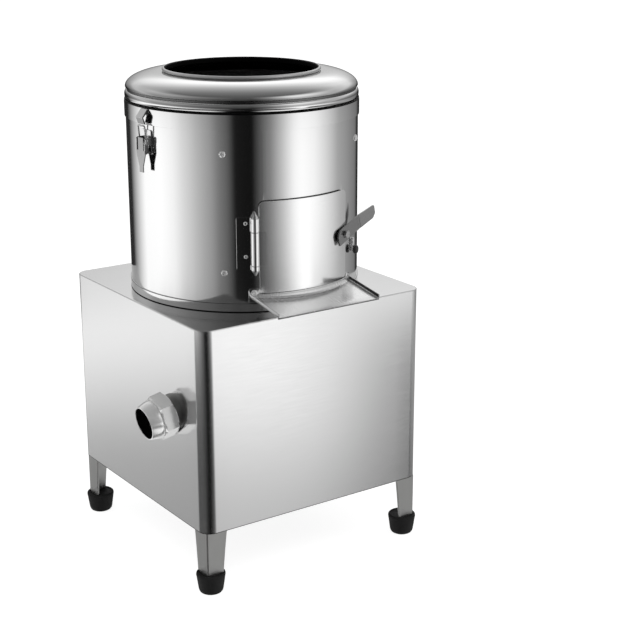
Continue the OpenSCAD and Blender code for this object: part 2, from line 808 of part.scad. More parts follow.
module motor_pulley() on_axis() color(dark_steel) translate([motor_x, motor_y, 0])
    pulley(pinion_d, motor_shaft_d / 2 + run_fit, motor_shaft_d / 2 + 8, rim_w + 6);

// Outline of a loop round two circles
module loop_outline(r1, r2) {
    span = norm([motor_x, motor_y]);
    dir = atan2(motor_y, motor_x);
    side = acos((r1 - r2) / span);
    circle(r1);
    translate([motor_x, motor_y]) circle(r2);
    polygon([
        [r1 * cos(dir + side), r1 * sin(dir + side)],
        [motor_x + r2 * cos(dir + side), motor_y + r2 * sin(dir + side)],
        [motor_x + r2 * cos(dir - side), motor_y + r2 * sin(dir - side)],
        [r1 * cos(dir - side), r1 * sin(dir - side)]]);
}

module drive_belt() on_axis() color(rubber)
    translate([0, 0, belt_z - belt_w / 2]) linear_extrude(belt_w) difference() {
        loop_outline(belt_out_driven, belt_out_pinion);
        loop_outline(belt_out_driven - belt_t, belt_out_pinion - belt_t);
    }

// ---- Motor ----

module motor_bracket() on_axis() color(dark_steel)
    difference() {
        union() {
            translate([motor_x - bracket_span, motor_y - bracket_span, bracket_z])
                cube([bracket_x - motor_x + bracket_span, bracket_x - motor_y + bracket_span, bracket_t]);
            translate([bracket_x - bracket_t, motor_y - bracket_span, leg_h + frame_t])
                cube([bracket_t, bracket_x - motor_y + bracket_span, bracket_z - leg_h - frame_t + 1]);
            translate([motor_x - bracket_span, bracket_x - bracket_t, leg_h + frame_t])
                cube([bracket_x - motor_x + bracket_span, bracket_t, bracket_z - leg_h - frame_t + 1]);
        }
        translate([motor_x, motor_y, bracket_z - cut]) cylinder(d = spigot_d, h = bracket_t + 2 * cut);
        at_motor_bolts() translate([0, 0, bracket_z - cut])
            cylinder(d = bolt_d + 0.6, h = bracket_t + 2 * cut);
        at_leg(2) translate([leg_w / 2, leg_w / 2, leg_h]) cylinder(d = leg_bolt_room, h = frame_h - 6);
    }

module at_motor_bolts() translate([motor_x, motor_y, 0])
    for (k = [0:3]) rotate([0, 0, 45 + 90 * k]) translate([motor_bolt_r, 0, 0]) children();

module motor_body() on_axis() color([0.30, 0.36, 0.42])
    translate([motor_x, motor_y, 0]) difference() {
        union() {
            translate([0, 0, motor_z]) cylinder(d = motor_flange_d, h = motor_flange_t);
            translate([0, 0, motor_body_z - 2]) cylinder(r = motor_core_r, h = motor_l + 2);
            for (k = [0:fin_count - 1]) rotate([0, 0, 360 / fin_count * (k + 0.5)])
                translate([motor_core_r - 2, -1, motor_body_z + end_shield_h])
                    cube([fin_h + 2, 2, motor_l - end_shield_h - 6]);
        }
        translate([0, 0, motor_z - cut]) cylinder(r = motor_shaft_d / 2 + run_fit, h = motor_l / 2);
        for (k = [0:3]) rotate([0, 0, 45 + 90 * k]) translate([motor_bolt_r, 0, motor_z - cut])
            cylinder(d = bolt_d + 0.6, h = motor_flange_t + 2 * cut);
    }

module motor_fan_cover() on_axis() color(dark_steel)
    translate([motor_x, motor_y, fan_cover_z]) difference() {
        rotate_extrude() polygon([[0, 0], [motor_d / 2 - 2, 0], [motor_d / 2 - 2, fan_cover_l - 10],
            [motor_d / 2 - 5, fan_cover_l - 3], [motor_d / 2 - 12, fan_cover_l], [0, fan_cover_l]]);
        for (k = [-2:2]) translate([k * slot_pitch - slot_w / 2, -slot_l / 2, fan_cover_l - 4])
            cube([slot_w, slot_l, 4 + cut]);
    }

module terminal_box() on_axis() color([0.30, 0.36, 0.42])
    difference() {
        translate([motor_x, motor_y - terminal_w / 2, motor_body_z + motor_l / 3])
            cube([motor_d / 2 + terminal_out, terminal_w, terminal_h]);
        translate([motor_x, motor_y, motor_body_z]) cylinder(r = motor_d / 2 + seat_fit, h = motor_l);
        translate([motor_x - cut, motor_y - motor_d / 2, motor_body_z]) cube([motor_d / 4, motor_d, motor_l]);
    }

motor_shaft_low_z = belt_z - rim_w / 2 - 3;
module motor_shaft() on_axis() color(steel)
    translate([motor_x, motor_y, motor_shaft_low_z])
        cylinder(d = motor_shaft_d, h = motor_z + motor_l / 2 - 4 - motor_shaft_low_z);

// ---- Drain ----

// A cylinder along the sloped drain line; s = 0 is where the line meets the cabinet's left wall
module drain_line(r, s0, s1) translate([-wall_x, -drain_front, drain_z])
    rotate([0, -90 - drain_slope, 0]) translate([0, 0, s0]) cylinder(r = r, h = s1 - s0);

module drain_elbow() on_axis() color(dark_steel) {
    straight = (wall_x - bend_end_x) / cos(drain_slope);
    difference() {
        union() {
            translate([-outlet_side, -drain_front, bend_z - 3])
                cylinder(r = pipe_r, h = pan_under_z - bend_z + 3);
            pipe_bend(pipe_r + 2);
            drain_line(pipe_r, -straight - 3, nozzle_start + 8);
        }
        translate([-outlet_side, -drain_front, bend_z - 1])
            cylinder(r = pipe_bore_r, h = pan_under_z - bend_z + 1 + cut);
        pipe_bend(pipe_bore_r - 0.5);
        drain_line(pipe_bore_r, -straight - 1, nozzle_start + 9);
    }
}

// The bend from the pan's outlet to the sloped drain line, as a solid of radius r
module pipe_bend(r) translate([-outlet_side - pipe_bend_r, -drain_front, bend_z]) rotate([90, 0, 0])
    rotate([0, 0, drain_slope - 90]) rotate_extrude(angle = 90 - drain_slope)
        translate([pipe_bend_r, 0]) circle(r);

module drain_nut() on_axis() color(steel)
    translate([-wall_x, -drain_front, drain_z]) rotate([0, -90 - drain_slope, 0])
        translate([0, 0, nut_start]) difference() {
            intersection() {
                rotate([0, 0, 12]) cylinder(r = nut_af / sqrt(3), h = nut_l, $fn = 6);
                rotate_extrude() polygon([[0, 0], [nut_af / 2 + 1.5, 0], [nut_af / sqrt(3), 2.2],
                    [nut_af / sqrt(3), nut_l - 2.2], [nut_af / 2 + 1.5, nut_l], [0, nut_l]]);
            }
            translate([0, 0, -cut]) cylinder(r = pipe_r + run_fit, h = nut_l + 2 * cut);
        }

module drain_nozzle() on_axis() color(steel)
    translate([-wall_x, -drain_front, drain_z]) rotate([0, -90 - drain_slope, 0])
        translate([0, 0, nozzle_start]) difference() {
            rotate_extrude() polygon([[0, 0], [nut_af / 2 - 1, 0], [nut_af / 2 - 0.4, 3],
                [nut_af / 2 - 1, 8], [nut_af / 2 - 3, nozzle_l - 7], [nozzle_mouth_d / 2, nozzle_l - 1],
                [nozzle_mouth_d / 2 - 0.6, nozzle_l], [0, nozzle_l]]);
            translate([0, 0, -cut]) cylinder(r = pipe_r + run_fit, h = 8.2 + cut);
            translate([0, 0, -cut]) cylinder(r = pipe_bore_r, h = nozzle_l + 2 * cut);
        }

// ---- Door ----

module door_panel() on_axis() color(steel)
    difference() {
        intersection() {
            translate([0, 0, top_z]) tube(door_out_r, door_in_r, drum_h);
            front_block(door_w / 2, top_z + door_low, top_z + door_high, door_corner_r);
        }
        at_latch() rotate([90, 0, 0]) cylinder(r = latch_bolt_d / 2 + run_fit, h = door_out_r + cut);
    }

module door_seal() on_axis() color(rubber)
    difference() {
        intersection() {
            translate([0, 0, top_z]) tube(door_in_r, drum_r + slip_fit, drum_h);
            front_block(door_w / 2 - seal_inset, top_z + door_low + seal_inset,
                top_z + door_high - seal_inset, door_corner_r - seal_inset);
        }
        front_block(open_half_w, top_z + open_low, top_z + open_high, open_corner_r);
    }

module door_plug() on_axis() color(grit)
    intersection() {
        translate([0, 0, top_z]) tube(door_in_r - 0.05, liner_in_r, drum_h);
        front_block(plug_half_w, top_z + open_low + plug_gap, top_z + open_high - plug_gap, 5);
    }

// Places a piece on the hinge pin's axis
module at_hinge() translate([-hinge_side, -hinge_y, top_z]) children();

module door_hinge_leaf() on_axis() color(steel) {
    low = hinge_low + knuckle_low_h + slip_fit;
    difference() {
        union() {
            at_hinge() translate([0, 0, low]) cylinder(d = barrel_d, h = hinge_split - slip_fit - low);
            intersection() {
                translate([0, 0, top_z + low])
                    tube(door_out_r + leaf_t, door_out_r, hinge_split - slip_fit - low);
                translate([-hinge_side, -drum_r * 1.2, top_z]) cube([20, drum_r, drum_h]);
            }
        }
        at_hinge() translate([0, 0, low - cut]) cylinder(r = hinge_pin_d / 2 + run_fit, h = drum_h);
    }
}

module drum_hinge_leaf() on_axis() color(dark_steel)
    difference() {
        union() {
            at_hinge() translate([0, 0, hinge_split]) cylinder(d = barrel_d, h = hinge_high - hinge_split);
            at_hinge() translate([0, 0, hinge_low]) cylinder(d = barrel_d, h = knuckle_low_h);
            intersection() {
                translate([0, 0, top_z + hinge_low]) tube(drum_r + leaf_t, drum_r, hinge_high - hinge_low);
                translate([-hinge_side - 22, -drum_r * 1.2, top_z]) cube([22 + 4, drum_r, drum_h]);
            }
            for (span = [[hinge_low, knuckle_low_h], [hinge_split, hinge_high - hinge_split]])
                intersection() {
                    translate([0, 0, top_z + span[0]]) tube(hinge_r, drum_r, span[1]);
                    translate([-hinge_side - hinge_web / 2, -drum_r * 1.2, top_z])
                        cube([hinge_web, drum_r, drum_h]);
                }
        }
        at_hinge() translate([0, 0, -cut]) cylinder(r = hinge_pin_d / 2 + run_fit, h = drum_h);
        at_hinge_screws() screw_hole();
        at_hinge() translate([0, 0, hinge_low + knuckle_low_h])
            cylinder(r = barrel_d / 2 + slip_fit, h = hinge_split - hinge_low - knuckle_low_h);
    }

module hinge_pin() on_axis() color(steel) at_hinge() rotate_extrude() polygon([
    [0, hinge_low - cap_h], [1.2, hinge_low - cap_h], [barrel_d / 2 - 0.5, hinge_low - 1],
    [barrel_d / 2 - 0.5, hinge_low], [hinge_pin_d / 2, hinge_low],
    [hinge_pin_d / 2, hinge_high], [barrel_d / 2 - 0.5, hinge_high],
    [barrel_d / 2 - 0.5, hinge_high + 1], [1.2, hinge_high + cap_h], [0, hinge_high + cap_h]]);

// ---- Door latch ----

// Places a piece at the latch pivot, drawn towards -Y from the drum's axis
module at_latch() at_angle(latch_angle) translate([0, 0, top_z + latch_level]) children();

module latch_lever() on_axis() color(satin)
    at_latch() rotate([0, -lever_rise, 0]) difference() {
        union() {
            translate([0, -lever_in_r, 0]) rotate([90, 0, 0]) linear_extrude(lever_t) {
                translate([lever_bend / 2 - lever_tail / 2, 0])
                    square([lever_bend + lever_tail - lever_w / 2, lever_w], center = true);
                translate([-lever_tail, -lever_w / 2]) square([lever_w / 2, lever_w / 2]);
                translate([lever_w / 2 - lever_tail, 0]) circle(lever_w / 2);
                translate([lever_bend - lever_w / 2, -lever_w / 2]) square([lever_w / 2 + 0.2, lever_w]);
            }
            translate([lever_bend, -lever_in_r, 0]) rotate([0, 0, -lever_bend_angle]) rotate([90, 0, 0])
                linear_extrude(lever_t) polygon([[0, -lever_w / 2],
                    [lever_l - lever_bend - 8, -lever_w / 2 + 1], [lever_l - lever_bend, -lever_w / 2 + 8],
                    [lever_l - lever_bend, lever_w / 2 - 2], [0, lever_w / 2]]);
        }
        rotate([90, 0, 0]) cylinder(r = latch_bolt_d / 2 + run_fit, h = lever_in_r + 20);
    }

// A stud that is welded flush with the door's inner face, with a spacer and a nut
module latch_bolt() on_axis() color(steel) at_latch() rotate([90, 0, 0]) {
    translate([0, 0, door_in_r + 0.1])
        cylinder(d = latch_bolt_d, h = lever_in_r + lever_t + 2 - door_in_r - 0.1);
    translate([0, 0, door_out_r + slip_fit])
        cylinder(d = 2 * latch_bolt_d - 1, h = lever_in_r - door_out_r - 2 * slip_fit);
    translate([0, 0, lever_in_r + lever_t + slip_fit]) cylinder(d = 1.85 * latch_bolt_d, h = 5, $fn = 6);
}

// A small upright strap on the drum, held by the knob below it
module latch_keeper() on_axis() color(steel) at_keeper() difference() {
    translate([0, -drum_r + 2, 4]) rotate([90, 0, 0]) linear_extrude(2 + keeper_h - 4)
        rounded_rect(10, 34, 4);
    drum_cut(drum_r, -30, 60);
    rotate([90, 0, 0]) cylinder(r = screw_d / 2 + seat_fit, h = drum_r + 30);
}

module keeper_knob() on_axis() color(rubber) at_keeper() rotate([90, 0, 0]) {
    knob_r = drum_r + keeper_h - 4 + seat_fit;
    translate([0, 0, drum_in_r - 0.4]) cylinder(d = screw_d, h = knob_r - drum_in_r + 1);
    translate([0, 0, knob_r]) cylinder(d = knob_d, h = 7);
}

// ---- Chute ----

module chute() on_axis() color(steel) {
    skin_r = drum_r + seat_fit;
    difference() {
        on_chute() chute_tray((chute_reach - chute_back_y) / cos(chute_slope), drum_r - chute_back_y);
        drum_cut(skin_r, top_z, drum_h);
        translate([-chute_w, -2 * chute_reach, 0]) cube([2 * chute_w, chute_reach, drum_top_z]);
        at_chute_screws() screw_hole();
    }
    difference() {
        translate([0, 0, top_z + base_ring_h + 1])
            tube(skin_r + chute_t, skin_r, chute_back_h - base_ring_h);
        translate([-drum_d, -chute_back_y, top_z]) cube([2 * drum_d, 2 * drum_d, drum_h]);
        on_chute() translate([-chute_w, -chute_reach, -chute_t / 2]) cube([2 * chute_w, 2 * chute_reach, 50]);
        at_chute_screws() screw_hole();
    }
    ear_w = 16;
    ear_h = chute_screw_h + screw_head_d / 2 + 1.5;
    for (s = [0, 1]) mirror([s, 0, 0]) difference() {
        intersection() {
            translate([0, 0, top_z + base_ring_h + 1])
                tube(skin_r + chute_t, skin_r, ear_h - base_ring_h - 1);
            translate([chute_w / 2 - ear_w, -drum_d, top_z]) cube([ear_w - 0.5, drum_d, drum_h]);
        }
        at_chute_screws() screw_hole();
    }
}

// Places a piece on the chute's slope, with y = 0 at its back corners
module on_chute() translate([0, -chute_back_y, top_z + chute_back_h]) rotate([chute_slope, 0, 0]) children();

// A flat tray with turned-up sides that runs from y = 0 towards -Y, and a little behind it
module chute_tray(length, behind) {
    translate([-chute_w / 2, -length, -chute_t]) cube([chute_w, length + behind, chute_t]);
    for (s = [0, 1]) mirror([s, 0, 0]) translate([chute_w / 2 - chute_t, -length, -chute_t])
        cube([chute_t, length + behind, chute_flange_h + chute_t]);
}

// ---- Lid ----

// Points along an arc or an elliptical arc, from angle a0 to a1
function arc_points(x, z, half_w, half_h, a0, a1) = [for (k = [0:arc_steps])
    let (a = a0 + (a1 - a0) * k / arc_steps) [x + half_w * cos(a), z + half_h * sin(a)]];

module lid_ring() on_axis() color(steel) {
    bead_r = bead_h / 2;
    roll_r = roll_d / 2;
    seat_r = liner_out_r - 1;
    groove_r = lid_r - 3.5;
    shoulder_r = lid_r - dome_w;
    flat_z = dome_z + dome_h;
    roll_z = flat_z + collar_h + roll_r;
    roll_start = acos((roll_r - lid_t) / roll_r) - 180;
    rotate_extrude($fn = 360) polygon(concat(
        [[seat_r, lid_z]],
        arc_points(lid_r + 1.5 - bead_r, lid_z + bead_r, bead_r, bead_r, -90, 90),
        [[groove_r, groove_z], [groove_r, dome_z - 3]],
        arc_points(shoulder_r, dome_z, dome_w, dome_h, 0, 90),
        [[mouth_r + lid_t, flat_z]],
        arc_points(mouth_r + roll_r, roll_z, roll_r, roll_r, roll_start, 180),
        [[mouth_r, flat_z - lid_t]],
        arc_points(shoulder_r, dome_z, dome_w - lid_t - 2, dome_h - lid_t, 90, 0),
        [[seat_r, dome_z - 1]]));
}

module lid_skirt() on_axis() color(steel)
    translate([0, 0, lid_z - skirt_h]) tube(skirt_out_r, skirt_in_r, skirt_h);

module lid_seal() on_axis() color(rubber)
    translate([0, 0, lid_z - 8]) tube(liner_out_r, liner_out_r - 2.5, 8);

module lid_catches() on_axis() color(steel)
    for (s = [-1, 1]) at_angle(s * toggle_angle) difference() {
        reach = toggle_r + 6;
        translate([-catch_w / 2, 0, 0]) rotate([90, 0, 90]) linear_extrude(catch_w) polygon([
            [-drum_r, lid_z - 2], [-skirt_out_r - 2, lid_z - 2],
            [-reach, (lid_z + catch_low_z) / 2 - 2], [-toggle_r - 1.6, catch_low_z],
            [-toggle_r + 1, catch_low_z], [-reach + 2.7, (lid_z + catch_low_z) / 2 - 2],
            [-skirt_out_r - 1, lid_z - 6.5], [-drum_r, lid_z - 6.5]]);
        drum_cut(skirt_out_r, lid_z - skirt_h - 5, skirt_h + 10);
    }

// ---- Toggle latches ----

module toggle_bases() on_axis() color(satin)
    for (s = [-1, 1]) at_angle(s * toggle_angle) {
        difference() {
            union() {
                translate([-toggle_w / 2 - 1.8, -drum_r - 1.6, toggle_z - 24])
                    cube([toggle_w + 3.6, 3, 40]);
                for (m = [0, 1]) mirror([m, 0, 0])
                    translate([toggle_w / 2 + slip_fit, -toggle_r - 3.5, toggle_z - 8])
                        cube([1.5, toggle_stand + 3.5 + 1.6, 12]);
            }
            drum_cut(drum_r, toggle_z - 40, 80);
        }
        for (m = [0, 1]) mirror([m, 0, 0]) translate([toggle_w / 2 - cheek_t - 0.1, -toggle_r, toggle_z])
            rotate([0, 90, 0]) cylinder(d = toggle_pin_d, h = cheek_t + slip_fit + 2.2);
    }

// A tapered lever with two cheeks; slots beside its tongue let the wire swing out
module toggle_lever() {
    plate_r = toggle_r + 2.8;
    half = toggle_w / 2;
    tongue = bail_half_w - wire_d / 2 - slip_fit;
    difference() {
        union() {
            translate([0, -plate_r, 0]) rotate([90, 0, 0]) linear_extrude(plate_t) polygon([
                [-tongue, toggle_z + 4], [tongue, toggle_z + 4], [tongue, bail_low_z - 4],
                [half, bail_low_z - 4], [half, toggle_z - 0.45 * toggle_l], [5.5, toggle_z - toggle_l + 10],
                [5.5, toggle_z - toggle_l], [-5.5, toggle_z - toggle_l], [-5.5, toggle_z - toggle_l + 10],
                [-half, toggle_z - 0.45 * toggle_l], [-half, bail_low_z - 4], [-tongue, bail_low_z - 4]]);
            for (m = [0, 1]) mirror([m, 0, 0])
                translate([half - cheek_t, -plate_r - plate_t, bail_low_z - 10])
                    cube([cheek_t, plate_r + plate_t - toggle_r + 2.9, toggle_throw + 13.5]);
        }
        for (p = [[toggle_r, toggle_z], [bail_low_r, bail_low_z]])
            translate([-toggle_w, -p[0], p[1]]) rotate([0, 90, 0])
                cylinder(r = toggle_pin_d / 2 + run_fit, h = 2 * toggle_w);
    }
}

// A wire loop from the lever's cheeks up to the lid's catch
module toggle_bail() {
    rise = bail_top_z - bail_low_z;
    lean = atan((bail_top_r - bail_low_r) / rise);
    length = norm([rise, bail_top_r - bail_low_r]);
    foot_bend = wire_d / 2 + 0.2;
    top_bend = wire_d;
    pin_end = toggle_w / 2 - 0.1;
    translate([0, -bail_low_r, bail_low_z]) rotate([lean, 0, 0]) {
        for (m = [0, 1]) mirror([m, 0, 0]) {
            translate([bail_half_w, 0, foot_bend]) cylinder(d = wire_d, h = length - foot_bend - top_bend);
            translate([bail_half_w + foot_bend, 0, foot_bend]) wire_bend(foot_bend, 180);
            translate([bail_half_w - top_bend, 0, length - top_bend]) wire_bend(top_bend, 0);
            translate([bail_half_w + foot_bend, 0, 0]) rotate([0, 90, 0])
                cylinder(d = wire_d, h = pin_end - bail_half_w - foot_bend);
        }
        translate([top_bend - bail_half_w, 0, length]) rotate([0, 90, 0])
            cylinder(d = wire_d, h = 2 * (bail_half_w - top_bend));
    }
}

// A quarter bend of the wire in the upright plane, from angle a on
module wire_bend(r, a) rotate([90, 0, 0]) rotate([0, 0, a]) rotate_extrude(angle = 90)
    translate([r, 0]) circle(d = wire_d);

module left_toggle_lever() on_axis() color(satin) at_angle(-toggle_angle) toggle_lever();
module right_toggle_lever() on_axis() color(satin) at_angle(toggle_angle) toggle_lever();
module left_toggle_bail() on_axis() color(steel) at_angle(-toggle_angle) toggle_bail();
module right_toggle_bail() on_axis() color(steel) at_angle(toggle_angle) toggle_bail();

// ---- Controls on the right side ----

module switch_plate() on_axis() color(steel)
    translate([wall_x, 0, switch_z]) rotate([90, 0, 90]) difference() {
        union() {
            linear_extrude(switch_plate_t) rounded_rect(switch_plate_w, switch_plate_h, 6);
            for (s = [-1, 1]) translate([s * button_pitch / 2, 0, 0])
                cylinder(r = button_d / 2 + 4, h = switch_plate_t + 3);
        }
        for (s = [-1, 1]) translate([s * button_pitch / 2, 0, 0]) {
            translate([0, 0, switch_plate_t - 0.5]) cylinder(r = button_d / 2 + slip_fit, h = 10);
            translate([0, 0, -cut]) cylinder(r = stem_d / 2 + slip_fit, h = 10);
        }
    }

// A button, pressed towards -X; its head starts one travel above its seat
module button(s) translate([wall_x, s * button_pitch / 2, switch_z]) rotate([90, 0, 90]) {
    low = switch_plate_t - 0.5 + button_travel + slip_fit;
    translate([0, 0, low]) cylinder(d = button_d, h = switch_plate_t + button_h - low - 1);
    translate([0, 0, switch_plate_t + button_h - 1.5]) cylinder(d = button_d - 3, h = 1.5);
    translate([0, 0, -20]) cylinder(d = stem_d, h = 20 + low + 1);
}
module start_button() on_axis() color("green") button(-1);
module stop_button() on_axis() color("red") button(1);

module switch_box() on_axis() color(rubber)
    translate([wall_in_x, 0, switch_z]) rotate([90, 0, -90]) difference() {
        linear_extrude(switch_box_d) square([switch_box_w, button_d + 22], center = true);
        for (s = [-1, 1]) translate([s * button_pitch / 2, 0, -cut])
            cylinder(r = stem_d / 2 + slip_fit, h = 20 + button_travel + 3);
    }

module cable_gland() on_axis() color(rubber)
    translate([gland_x, wall_x, gland_z]) rotate([-90, 0, 0]) difference() {
        union() {
            translate([0, 0, -sheet_t - 8]) cylinder(d = gland_thread_d, h = 12 + sheet_t);
            translate([0, 0, -sheet_t - 6]) cylinder(d = gland_hex, h = 6, $fn = 6);
            cylinder(d = gland_hex, h = 8, $fn = 6);
            translate([0, 0, 8]) rotate_extrude() polygon([[0, 0], [gland_hex / 2 - 2.5, 0],
                [gland_hex / 2 - 2.5, gland_l - 16], [gland_hex / 2 - 6, gland_l - 8], [0, gland_l - 8]]);
        }
        translate([0, 0, -30]) cylinder(d = gland_bore_d, h = gland_l + 60);
    }

cabinet_shell();
cabinet_top();
base_frame();
front_left_leg();
front_right_leg();
rear_right_leg();
rear_left_leg();
front_left_foot();
front_right_foot();
rear_right_foot();
rear_left_foot();
frame_bolts();
support_rails();
drum_shell();
drum_base_ring();
abrasive_liner();
drum_screws();
waste_pan();
turntable();
turntable_nut();
main_shaft();
bearing_housing();
shaft_bearings();
shaft_seal();
driven_pulley();
drive_belt();
motor_bracket();
motor_body();
motor_fan_cover();
terminal_box();
motor_shaft();
motor_pulley();
drain_elbow();
drain_nut();
drain_nozzle();
door_panel();
door_seal();
door_plug();
door_hinge_leaf();
drum_hinge_leaf();
hinge_pin();
latch_lever();
latch_bolt();
latch_keeper();
keeper_knob();
chute();
lid_ring();
lid_skirt();
lid_seal();
lid_catches();
toggle_bases();
left_toggle_lever();
right_toggle_lever();
left_toggle_bail();
right_toggle_bail();
switch_plate();
switch_box();
start_button();
stop_button();
cable_gland();
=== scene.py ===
import math

import bpy
from mathutils import Matrix, Vector


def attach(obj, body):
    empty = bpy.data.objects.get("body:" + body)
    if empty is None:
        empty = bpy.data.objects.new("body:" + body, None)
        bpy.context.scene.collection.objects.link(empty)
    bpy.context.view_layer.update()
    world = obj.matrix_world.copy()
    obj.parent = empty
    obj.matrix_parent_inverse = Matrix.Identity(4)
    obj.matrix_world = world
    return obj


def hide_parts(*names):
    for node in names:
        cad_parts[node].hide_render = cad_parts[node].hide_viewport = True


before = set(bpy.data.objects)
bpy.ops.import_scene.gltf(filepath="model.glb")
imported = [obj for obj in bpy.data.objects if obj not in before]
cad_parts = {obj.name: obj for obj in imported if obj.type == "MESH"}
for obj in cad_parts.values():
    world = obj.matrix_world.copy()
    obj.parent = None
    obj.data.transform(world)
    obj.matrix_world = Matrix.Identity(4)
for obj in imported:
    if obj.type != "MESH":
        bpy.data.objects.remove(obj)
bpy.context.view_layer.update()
print("frame loaded:", len(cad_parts), "nodes")

drumAxis = (24.8658, 7.5)


# building helpers

def cosDeg(angle):
    return math.cos(math.radians(angle))


def sinDeg(angle):
    return math.sin(math.radians(angle))


def place(point):
    return Vector((point[0] + drumAxis[0], point[1] + drumAxis[1], point[2])) * 0.001


def moved(part, matrix):
    verts, faces = part
    return [matrix @ Vector(v) for v in verts], faces


def turned(angle):
    return Matrix.Rotation(math.radians(angle), 4, "Z")


def outward(angle, z, tilt=0.0):
    # local z points away from the drum at this angle from the front, local y points up
    return turned(angle) @ Matrix.Translation((0, 0, z)) @ Matrix.Rotation(math.radians(90 + tilt), 4, "X")


def loft(rings, closeAround=True, closeAlong=False):
    count = len(rings[0])
    verts = [v for ring in rings for v in ring]
    faces = []
    for i in range(len(rings) if closeAlong else len(rings) - 1):
        a, b = i * count, (i + 1) % len(rings) * count
        for j in range(count if closeAround else count - 1):
            k = (j + 1) % count
            faces.append((a + j, a + k, b + k, b + j))
    return verts, faces


def capped(rings):
    verts, faces = loft(rings)
    count = len(rings[0])
    faces.append(tuple(reversed(range(count))))
    faces.append(tuple(range((len(rings) - 1) * count, len(rings) * count)))
    return verts, faces


def lathe(profile, steps=96, centre=(0, 0), closeProfile=True):
    rings = []
    for i in range(steps):
        a = 2 * math.pi * i / steps
        rings.append([(centre[0] + r * math.cos(a), centre[1] + r * math.sin(a), z) for r, z in profile])
    return loft(rings, closeAround=closeProfile, closeAlong=True)


def solidOfRings(levels, sides=48):
    # levels: (radius, z, hexShare); hexShare 1 makes the ring a hexagon across its corners
    rings = []
    for radius, z, hexShare in levels:
        ring = []
        for i in range(sides):
            a = 2 * math.pi * i / sides
            hexRadius = radius * math.cos(math.pi / 6) / math.cos(a % (math.pi / 3) - math.pi / 6)
            r = radius + (hexRadius - radius) * hexShare
            ring.append((r * math.cos(a), r * math.sin(a), z))
        rings.append(ring)
    return capped(rings)


def arc(x, z, radiusX, radiusZ, start, end, steps=10):
    angles = [start + (end - start) * i / steps for i in range(steps + 1)]
    return [(x + radiusX * cosDeg(a), z + radiusZ * sinDeg(a)) for a in angles]


def extruded(outline, low, high):
    # outline: (x, y) points; the body runs along z from low to high
    return capped([[(x, y, low) for x, y in outline], [(x, y, high) for x, y in outline]])


def roundedOutline(width, height, corner, steps=8):
    points = []
    for k in range(4):
        cx = (width / 2 - corner) * (1 if k in (0, 3) else -1)
        cy = (height / 2 - corner) * (1 if k in (0, 1) else -1)
        for i in range(steps + 1):
            a = 90 * k + 90 * i / steps
            points.append((cx + corner * cosDeg(a), cy + corner * sinDeg(a)))
    return points


def tubeAlong(points, radius, sides=14):
    points = [Vector(p) for p in points]
    rings = []
    normal = None
    for i, p in enumerate(points):
        ahead = (points[min(i + 1, len(points) - 1)] - points[max(i - 1, 0)]).normalized()
        if normal is None:
            normal = ahead.orthogonal().normalized()
        normal = (normal - ahead * normal.dot(ahead)).normalized()
        side = ahead.cross(normal)
        turns = [2 * math.pi * j / sides for j in range(sides)]
        rings.append([p + (normal * math.cos(t) + side * math.sin(t)) * radius for t in turns])
    return capped(rings)


def wrapColumns(left, right, corner, step=4.0):
    xs = []
    if corner:
        xs += [left + corner * (1 - cosDeg(t)) for t in range(0, 90, 15)]
    inner = max(2, round((right - left - 2 * corner) / step))
    xs += [left + corner + (right - left - 2 * corner) * i / inner for i in range(inner + 1)]
    if corner:
        xs += [right - corner * (1 - cosDeg(t)) for t in range(75, -1, -15)]
    return xs


def cornerDrop(x, left, right, corner):
    # how far a rounded corner pulls the edge in at this x
    edge = min(x - left, right - x)
    if edge >= corner:
        return 0.0
    return corner - math.sqrt(max(0.0, corner * corner - (corner - edge) ** 2))


def wrapPanel(left, right, low, high, corner, inner, outer, lowCorner=None):
    # a sheet that follows the drum between two radii, its outline drawn straight across
    lowCorner = corner if lowCorner is None else lowCorner
    rings = []
    for x in wrapColumns(left, right, corner):
        bottom = low + cornerDrop(x, left, right, lowCorner)
        top = high - cornerDrop(x, left, right, corner)
        yOut, yIn = -math.sqrt(outer * outer - x * x), -math.sqrt(inner * inner - x * x)
        rings.append([(x, yOut, bottom), (x, yOut, top), (x, yIn, top), (x, yIn, bottom)])
    return capped(rings)


def newObject(name, data):
    obj = bpy.data.objects.new(name, data)
    bpy.context.collection.objects.link(obj)
    return obj


def meshObject(name, verts, faces):
    mesh = bpy.data.meshes.new(name)
    mesh.from_pydata(verts, [], faces)
    return mesh, newObject(name, mesh)


def addPiece(name, parts, body, nodes, slotName, material=None, sharp=35, bevel=0.0, segments=2, sheet=0.0):
    verts, faces = [], []
    for partVerts, partFaces in parts:
        start = len(verts)
        verts += [place(v) for v in partVerts]
        faces += [tuple(i + start for i in face) for face in partFaces]
    mesh, obj = meshObject(name, verts, faces)
    bpy.context.view_layer.objects.active = obj
    obj.select_set(True)
    bpy.ops.object.mode_set(mode="EDIT")
    bpy.ops.mesh.select_all(action="SELECT")
    bpy.ops.mesh.normals_make_consistent(inside=False)
    bpy.ops.object.mode_set(mode="OBJECT")
    obj.select_set(False)
    mesh.shade_smooth()
    if sheet:
        mod = obj.modifiers.new("sheet", "SOLIDIFY")
        mod.thickness = abs(sheet) * 0.001
        mod.offset = math.copysign(1, sheet)
    if bevel:
        mod = obj.modifiers.new("edges", "BEVEL")
        mod.width = bevel * 0.001
        mod.segments = segments
        mod.limit_method = "ANGLE"
        mod.angle_limit = math.radians(sharp)
        mod.harden_normals = True
        mod.use_clamp_overlap = True
    else:
        mesh.set_sharp_from_angle(angle=math.radians(sharp))
        mod = obj.modifiers.new("flat faces", "WEIGHTED_NORMAL")  # keeps large flat faces evenly lit
        mod.keep_sharp = True
    mesh.materials.append(material or materials[slotName])
    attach(obj, body)
    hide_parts(*nodes)


# camera

